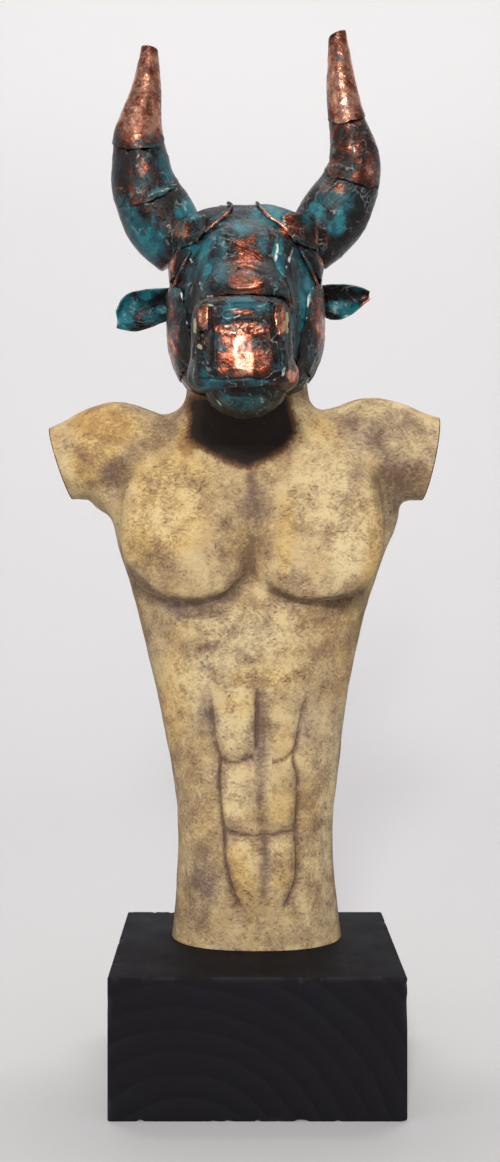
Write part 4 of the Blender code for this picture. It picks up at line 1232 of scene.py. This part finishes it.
def make_plate(name, net, size, bulge, spots, seed, mirrored=False, folds=()):
    """A plate: its upper face, hammered, folded where listed, given the sheet's thickness inwards; its rim
    is lightened as a painted highlight.
    """
    grid, u, v = plate_grid(net, *size, bulge, mirrored, seed)
    normals = normals_of(grid, wrap=False)
    if (normals * (grid - HEAD_MIDDLE)).sum() < 0:
        grid, normals = grid[::-1], -normals[::-1]
    marks, rise = dressed(grid, normals, spots, seed)
    rim = np.maximum(np.abs(u), np.abs(v))
    rise -= 0.5 * ease(rim, 0.93, 1.0)
    place = seen(grid)
    for line in folds:
        length, side, share = line_near(place, line)
        ends = ease(share, 0, 0.15) * ease(1 - share, 0, 0.15)
        ridge = np.exp(-(((length * side + 3) / 3.0) ** 2))
        rise += ends * (0.9 * ridge - 1.2 * np.exp(-((length / 1.5) ** 2)))
        marks["soot"] += 0.55 * ends * np.exp(-((length / 1.1) ** 2))
    # Painted highlight: the rims are lightened where the cut edges catch the light.
    marks["pale"] += 0.5 * ease(rim, 0.93, 1.0) * ease(grain(grid, 5, seed + 8, 2), -0.1, 0.5)
    grid = grid + normals * rise[..., None]
    plate = make_piece(name, grid + (0, 0, FOOT), marks, COPPER, wrap=False)
    thicken(plate, -1.0)
    return plate


def tube_grid(path, radii, around):
    """A tube: rings about a path, each turned square to it, with its radius at each point. The rings' axes
    follow the path from a fixed side."""
    path = np.asarray(path, float)
    along = np.gradient(path, axis=0)
    along /= np.linalg.norm(along, axis=1, keepdims=True)
    side = np.cross(along, (0.3, 0.9, 0.3))
    side /= np.linalg.norm(side, axis=1, keepdims=True)
    over = np.cross(along, side)
    angle = np.arange(around) / around * 2 * np.pi
    ring = np.cos(angle)[:, None] * side[:, None] + np.sin(angle)[:, None] * over[:, None]
    return path[:, None] + ring * np.asarray(radii)[:, None, None]


def make_wire(name, points, seed, spots, mirrored=False, count=60):
    """A wire let a little into the solder on the head, its middle a third of its diameter above it."""
    path = smooth_path(np.array(points, float) * ((-1, 1, 1) if mirrored else (1, 1, 1)), count)
    path, ways = onto_head(path)
    path = path + ways * (WIRE_DIAMETER / 3 + 0.4) + (HEAD_X, 0, 0)
    path += 0.25 * np.stack([grain(path, 9, seed + i) for i in range(3)], -1)
    radii = np.full(count, WIRE_DIAMETER / 2) * (1 + 0.08 * grain(path, 4, seed + 4))
    radii[[0, -1]] *= 0.8
    grid = tube_grid(path, radii, 14)
    grid = np.concatenate([path[:1, None] + 0 * grid[:1], grid, path[-1:, None] + 0 * grid[:1]])
    normals = normals_of(grid)
    if (normals[2:-2] * (grid[2:-2] - grid[2:-2].mean(1, keepdims=True))).sum() < 0:
        grid, normals = grid[::-1], -normals[::-1]
    marks = dressed(grid, normals, spots, seed)[0]
    return make_piece(name, grid + (0, 0, FOOT), marks, COPPER)


nose = make_plate(
    "nose_strip", NOSE_NET, size=(150, 80), bulge=0.0, spots=NOSE_MARKS, seed=81, folds=NOSE_FOLDS,
)
fix(nose, "bright_copper", "nose_bridge")
for side, mirrored, seed in (("left", False, 100), ("right", True, 140)):
    cheek = make_plate(f"{side}_cheek_plate", CHEEK_NET, (90, 90), CHEEK_BULGE, CHEEK_MARKS, seed, mirrored)
    fix(cheek, "dark_copper", f"{side}_cheek")
    brow = make_plate(f"{side}_brow_plate", BROW_NET, (60, 60), BROW_BULGE, BROW_MARKS, seed + 10, mirrored)
    fix(brow, "bright_copper", f"{side}_brow")
    eye = make_plate(f"{side}_eye_shell", EYE_NET, (50, 50), EYE_BULGE, EYE_MARKS, seed + 20, mirrored)
    fix(eye, "bright_copper", f"{side}_eye")
    rim = make_wire(f"{side}_eye_wire", EYE_RIM, seed + 30, EYE_WIRE_MARKS, mirrored)
    fix(rim, "dark_copper", f"{side}_eye_rim")

# The two wires over the forehead: thick copper wire bent by hand and soldered on, its top rubbed bare.
BROW_WIRES = {
    "left": ((-14, -30, 537), (-11, -40, 531), (-15, -46, 525), (-26, -50, 517), (-34, -52, 512)),
    "right": ((9, -30, 538), (11, -40, 532), (17, -46, 525), (27, -49, 520), (36, -49, 514)),
}
BROW_WIRE_MARKS = {"bare": ((217, 222, 24, 16, 0, 0.75), (278, 218, 26, 18, 0, 0.85))}
for side, seed in (("left", 180), ("right", 190)):
    wire = make_wire(f"{side}_forehead_wire", BROW_WIRES[side], seed, BROW_WIRE_MARKS)
    fix(wire, "bright_copper", f"{side}_brow_wire")

# The horns: each three sheets rolled into tapering sleeves, slipped over each other and soldered. The tips
# are left open as cut, and bare; the middles are brown, and the roots are green. Each row is a place on a
# horn's middle line and its radius there.
HORNS = {
    "left": (
        (-52, 0, 502, 22),
        (-67.5, -3, 521, 26.6),
        (-79.6, -7, 544, 23.8),
        (-83, -9, 563, 20.4),
        (-84.4, -10, 580, 17.6),
        (-83, -10, 592, 14.8),
        (-79.4, -10, 611, 10.9),
        (-77.3, -10, 633, 7.4),
        (-76.7, -10, 646.5, 5.8),
    ),
    "right": (
        (36, 0, 501, 19),
        (46.5, -3, 514, 23),
        (57.6, -6, 529, 24.6),
        (66.5, -8, 546, 21.6),
        (70.7, -9, 561, 18.8),
        (69.1, -10, 575, 16.2),
        (64.6, -10, 595.5, 12.3),
        (61.4, -10, 617, 10.2),
        (59.8, -10, 638, 7.8),
        (58.2, -10, 657, 5.8),
    ),
}
HORN_JOINTS = {"left": (545, 579), "right": (553, 596)}
JOINT_TILT = {"left": 11.5, "right": 9.0}
# The tips' cuts: how much they rise to the right, and how far they are cut down.
TIP_CUTS = {"left": (-0.12, 1.8), "right": (0.30, 2.1)}
# Rings inside an open tip: their size as a share of its rim, and how deep they lie.
TIP_RINGS = ((0.93, 0.0), (0.84, 0.3), (0.8, 1.5), (0.8, 5.0), (0.8, 9.0), (0.0, 9.0))
HORN_SLEEVE_STEP = 0.5
HORN_SLEEVES = (("base", "verdigris"), ("middle", "dark_copper"), ("tip", "bright_copper"))
HORN_SPOTS = {
    "left_tip": {
        # The last bare spot is a painted highlight: a strip of lighter copper down the tip.
        "bare": ((140, 92, 40, 50, 0, 1.1), (140, 132, 30, 14, 0, 0.6), (146, 78, 6, 30, 0, 0.35)),
        "soot": ((124, 138, 8, 7, 0, 0.5), (157, 90, 3, 44, 0, 0.45)),
        "green": ((140, 85, 40, 50, 0, -0.4),),
    },
    "left_middle": {
        "bare": ((143, 166, 8, 10, 0, 0.6), (133, 190, 6, 20, -15, 0.6), (140, 170, 34, 40, 0, 0.14)),
        "green": ((166, 165, 7, 24, 0, 0.5), (158, 190, 18, 3, -12, 0.5)),
        "soot": ((128, 168, 16, 30, 0, 0.6), (152, 178, 12, 12, 0, 0.5)),
        "pale": ((154, 192, 18, 1.0, -14, 0.7), (125, 150, 0.8, 6, 0, 0.5)),
    },
    "left_base": {
        "green": ((186, 208, 12, 12, 0, 1.0), (145, 238, 28, 18, 40, 0.8), (128, 214, 9, 12, 0, 0.6)),
        "bare": ((152, 228, 12, 8, 30, 0.4),),
        "soot": ((168, 200, 14, 11, 0, 0.7), (162, 252, 8, 12, 0, 0.3)),
        "pale": ((150, 200, 9, 3, -14, 0.5), (184, 204, 8, 8, 0, 0.3)),
    },
    "right_tip": {
        "green": ((343, 80, 30, 60, 0, -0.45),),
        # The second bare spot is a painted highlight: a strip of lighter copper down the tip.
        "bare": ((343, 80, 30, 50, 0, 1.1), (347, 82, 8, 40, -8, 0.35)),
        "soot": ((332, 80, 3, 40, 0, 0.3),),
    },
    "right_middle": {
        "green": ((352, 145, 30, 34, 0, -0.35),),
        "bare": ((371, 168, 8, 20, 0, 0.7), (354, 130, 20, 20, 0, 0.4), (348, 150, 34, 44, 0, 0.4)),
        "soot": ((348, 168, 10, 16, 0, 0.5), (331, 160, 6, 22, 0, 0.3)),
        "pale": ((353, 156, 0.9, 18, 0, 0.7),),
    },
    "right_base": {
        "green": (
            (314, 210, 9, 8, 0, 1.0),
            (337, 222, 8, 14, 20, 0.9),
            (345, 177, 10, 3, 0, 0.9),
            (352, 205, 8, 12, 0, 0.4),
        ),
        "bare": ((325, 188, 6, 9, 0, 0.8), (341, 186, 6, 7, 0, 0.8), (327, 243, 4, 8, 0, 0.5)),
        "soot": ((362, 215, 12, 26, 10, 0.85),),
        "pale": ((346, 176, 9, 2, 0, 0.45),),
    },
}


def make_horn_piece(side, number, name, seed, rows=90, around=96):
    """A sleeve of a horn: a tube whose ends swing up and down around it as the sheets were cut, dented, the
    last one turning in at its open end and running down inside it."""
    path = np.array(HORNS[side], float)
    edges = (path[0, 2], *HORN_JOINTS[side], path[-1, 2])
    last = number == 2
    knots = np.arange(len(path))
    low, high = spline(path[:, 2], knots, np.array([edges[number], edges[number + 1]]))
    share = np.linspace(0, 1, rows)[:, None]
    at = np.linspace(low, high, rows)
    line = spline(knots, path, at)
    pace = np.gradient(line[:, 2], at)
    turned = tube_grid(line[:, :3], line[:, 3], around) - line[:, None, :3]
    outward = turned / np.linalg.norm(turned, axis=-1, keepdims=True)
    step = HORN_SLEEVE_STEP * number * (1 - 0.7 * share)
    turned = outward * (line[:, 3:] + step)[..., None]
    azimuth = np.arctan2(turned[..., 1], turned[..., 0])
    sway = JOINT_TILT[side] * np.sin(azimuth) + 1.2 * grain(turned * (1, 1, 0), 6, seed, 2)
    shift = sway * ((1 - share) ** 2 * (number > 0) + share**2 * (not last))
    line = spline(knots, path, np.clip(at[:, None] + shift / pace[:, None], 0, knots[-1]))
    grid = line[..., :3] + outward * (line[..., 3] + step)[..., None]
    if last:
        slant, drop = TIP_CUTS[side]
        grid[..., 2] += ((grid[..., 0] - line[..., 0]) * slant - drop) * share**5
        middle, inwards = grid[-1:].mean(1, keepdims=True), grid[-1:] - grid[-1:].mean(1, keepdims=True)
        inner = [middle + inwards * size - (0, 0, down) for size, down in TIP_RINGS]
        grid = np.concatenate([grid, *inner])
    else:
        grid = np.concatenate([grid, pole(grid[-1:])])
    grid = np.concatenate([pole(grid[:1]), grid])
    normals = normals_of(grid)
    if (normals[4:60] * (grid[4:60] - grid[4:60].mean(1, keepdims=True))).sum() < 0:
        grid, normals = grid[:, ::-1], -normals[:, ::-1]
    spots, depth = HORN_SPOTS[f"{side}_{name}"], 0.45 if last else 0.6
    marks, dents = dressed(grid, normals, spots, seed, keep=0.4, depth=depth)
    dents[-8:] *= 0.15 if last else 0.6
    if last:
        marks["soot"][-5:] = 1.0
        marks["bare"][-5:] = 0.2
    grid = grid + normals * dents[..., None]
    return make_piece(f"{side}_horn_{name}_sheet", grid + (0, 0, FOOT), marks, COPPER)


for side, seed in (("left", 200), ("right", 260)):
    for number, (name, slot) in enumerate(HORN_SLEEVES):
        fix(make_horn_piece(side, number, name, seed + 20 * number), slot, f"{side}_horn_{name}")

# The ears: leaves of sheet, cupped over a stake and soldered at their roots. Each row is a place on an
# ear's midrib and half its width there.
EARS = {
    "left": (
        (-52, 22, 467, 9),
        (-70, 17, 464, 12.5),
        (-86, 12, 459.5, 14.5),
        (-96, 8, 457.5, 12),
        (-101.5, 6, 453, 6),
    ),
    "right": (
        (42, 22, 470, 9),
        (57, 17, 467, 12.5),
        (68, 12, 467.5, 11),
        (77, 8, 469.5, 6.5),
        (83, 6, 470.5, 2.5),
    ),
}
EAR_CUP = 11.0
EAR_SPOTS = {
    "left": {
        "green": ((126, 312, 10, 18, 0, 1.1), (150, 292, 18, 5, 0, 0.9), (155, 318, 10, 10, 0, 0.5)),
        "bare": ((141, 312, 7, 8, 0, 0.5),),
        "soot": ((162, 299, 9, 8, 0, 0.8),),
        "pale": ((119, 314, 2.5, 14, 0, 0.4), (127, 312, 9, 16, 0, 0.3)),
    },
    "right": {
        "green": ((345, 309, 16, 8, 0, 1.0),),
        "soot": ((345, 293, 20, 6, 5, 0.9),),
        "bare": ((366, 300, 6, 6, 0, 1.0),),
        "pale": ((345, 309, 14, 7, 0, 0.3),),
    },
}


def make_ear(side, seed):
    """An ear: across it the leaf curves forward by the square of the distance from its midrib, less so
    towards the tip, and its outline is the half width along the way."""
    path = smooth_path(np.array(EARS[side], float), 90)
    across = np.linspace(-1, 1, 60)
    u = np.linspace(0, 1, len(path))[:, None]
    x = path[:, :1] + 0 * across
    z = path[:, 2:3] + path[:, 3:] * across
    y = path[:, 1:2] - EAR_CUP * across**2 * (1 - 0.55 * u)
    grid = np.stack([x, y, z], -1)
    if side == "left":
        grid = grid[::-1]
    normals = normals_of(grid, wrap=False)
    facing = np.broadcast_to((0.0, -1.0, 0.0), grid.shape)
    marks, rise = dressed(grid, facing, EAR_SPOTS[side], seed, keep=0.4, depth=0.8)
    grid = grid + normals * rise[..., None]
    leaf = make_piece(f"{side}_ear_leaf", grid + (0, 0, FOOT), marks, COPPER, wrap=False)
    thicken(leaf, 0.0)
    return leaf


for side, seed in (("left", 320), ("right", 340)):
    fix(make_ear(side, seed), "verdigris", f"{side}_ear")

# The studio: pale paper that curves up behind the statue and lies flat in front of it, soft lamps in front,
# overhead and at both sides, one more that washes the paper behind, and a level camera.
SWEEP_FLAT = 900
SWEEP_BEND = 1300
SWEEP_HIGH = 2600
PAPER_TONES = ("#bfbec0", "#c4c3c4")
# Each lamp's place, the place it faces, its width and height in metres, its watts and its colour.
LAMPS = {
    "front_key": ((-0.16, -1.95, 1.26), (0, 0, 0.42), (0.28, 0.28), 37, "#fffaf5"),
    "front_strip": ((0.02, -1.7, 0.8), (0, 0, 0.5), (0.06, 1.3), 5.5, "#ffffff"),
    "soft_top": ((0.0, -0.4, 2.2), (0, 0, 0.3), (1.2, 1.0), 8, "#ffffff"),
    "soft_right": ((1.6, -0.5, 0.9), (0, 0, 0.4), (0.3, 1.4), 2, "#f4f6ff"),
    "soft_left": ((-1.6, -0.6, 0.9), (0, 0, 0.4), (0.3, 1.4), 4, "#ffffff"),
    "wall_wash": ((0.0, 0.45, 2.3), (0, 2.2, 0.7), (2.0, 0.4), 45, "#fdfcfa"),
}
ROOM_COLOUR = "#f2f3f6"
ROOM_STRENGTH = 0.2
SENSOR = 36


def make_sweep(around=96):
    """A scoop of paper: a flat floor, then a quarter circle up to a straight wall, full height behind the
    statue and sinking to the floor in front of it."""
    bend = np.linspace(0, np.pi / 2, 24)
    curve = SWEEP_FLAT + SWEEP_BEND * np.sin(bend)
    out = np.concatenate([[1e-3, 200, 500], curve, [SWEEP_FLAT + SWEEP_BEND]])
    up = np.concatenate([[0, 0, 0], SWEEP_BEND * (1 - np.cos(bend)), [SWEEP_HIGH]])
    azimuth = np.arange(around + 1)[::-1] / around * 2 * np.pi
    up = up[:, None] * ease(np.sin(azimuth), -0.55, 0.35)
    grid = np.stack([out[:, None] * np.cos(azimuth), out[:, None] * np.sin(azimuth), up], -1)
    paper, tree, shader = new_finish("pale_paper")
    fibre = add(tree, "TexNoise", {"Scale": 3.0, "Detail": 3.0})
    tone = {0: fibre, 6: PAPER_TONES[0], 7: PAPER_TONES[1]}
    tone = add(tree, "Mix", tone, data_type="RGBA").outputs[2]
    feed(tree, shader, {"Base Color": tone, "Roughness": 0.9})
    return make_piece("paper_sweep", grid, {}, paper, wrap=False)


def make_lamp(name, place, aim, size, watts, colour):
    """A rectangular soft lamp turned to face a place."""
    lamp = bpy.data.lights.new(name, "AREA")
    lamp.shape = "RECTANGLE"
    lamp.size, lamp.size_y = size
    lamp.energy = watts
    lamp.color = linear(colour)[:3]
    made = bpy.data.objects.new(name, lamp)
    bpy.context.scene.collection.objects.link(made)
    made.location = place
    made.rotation_euler = (Vector(aim) - Vector(place)).to_track_quat("-Z", "Y").to_euler()


make_sweep()
for name, settings in LAMPS.items():
    make_lamp(name, *settings)
world = bpy.data.worlds.new("studio")
world.use_nodes = True
room = {"Color": ROOM_COLOUR, "Strength": ROOM_STRENGTH}
feed(world.node_tree, world.node_tree.nodes["Background"], room)
bpy.context.scene.world = world
bpy.context.scene.view_settings.view_transform = "Standard"

lens = bpy.data.cameras.new("camera")
lens.sensor_width = SENSOR
lens.sensor_fit = "VERTICAL"
lens.sensor_height = SENSOR
lens.lens = SENSOR * FOCUS / PICTURE[1]
lens.shift_x = (PICTURE[0] / 2 - LEVEL[0]) / PICTURE[1]
lens.shift_y = (LEVEL[1] - PICTURE[1] / 2) / PICTURE[1]
camera = bpy.data.objects.new("camera", lens)
camera.location = [value / 1000 for value in CAMERA]
camera.rotation_euler = (np.pi / 2, 0, 0)
bpy.context.scene.collection.objects.link(camera)
bpy.context.scene.camera = camera
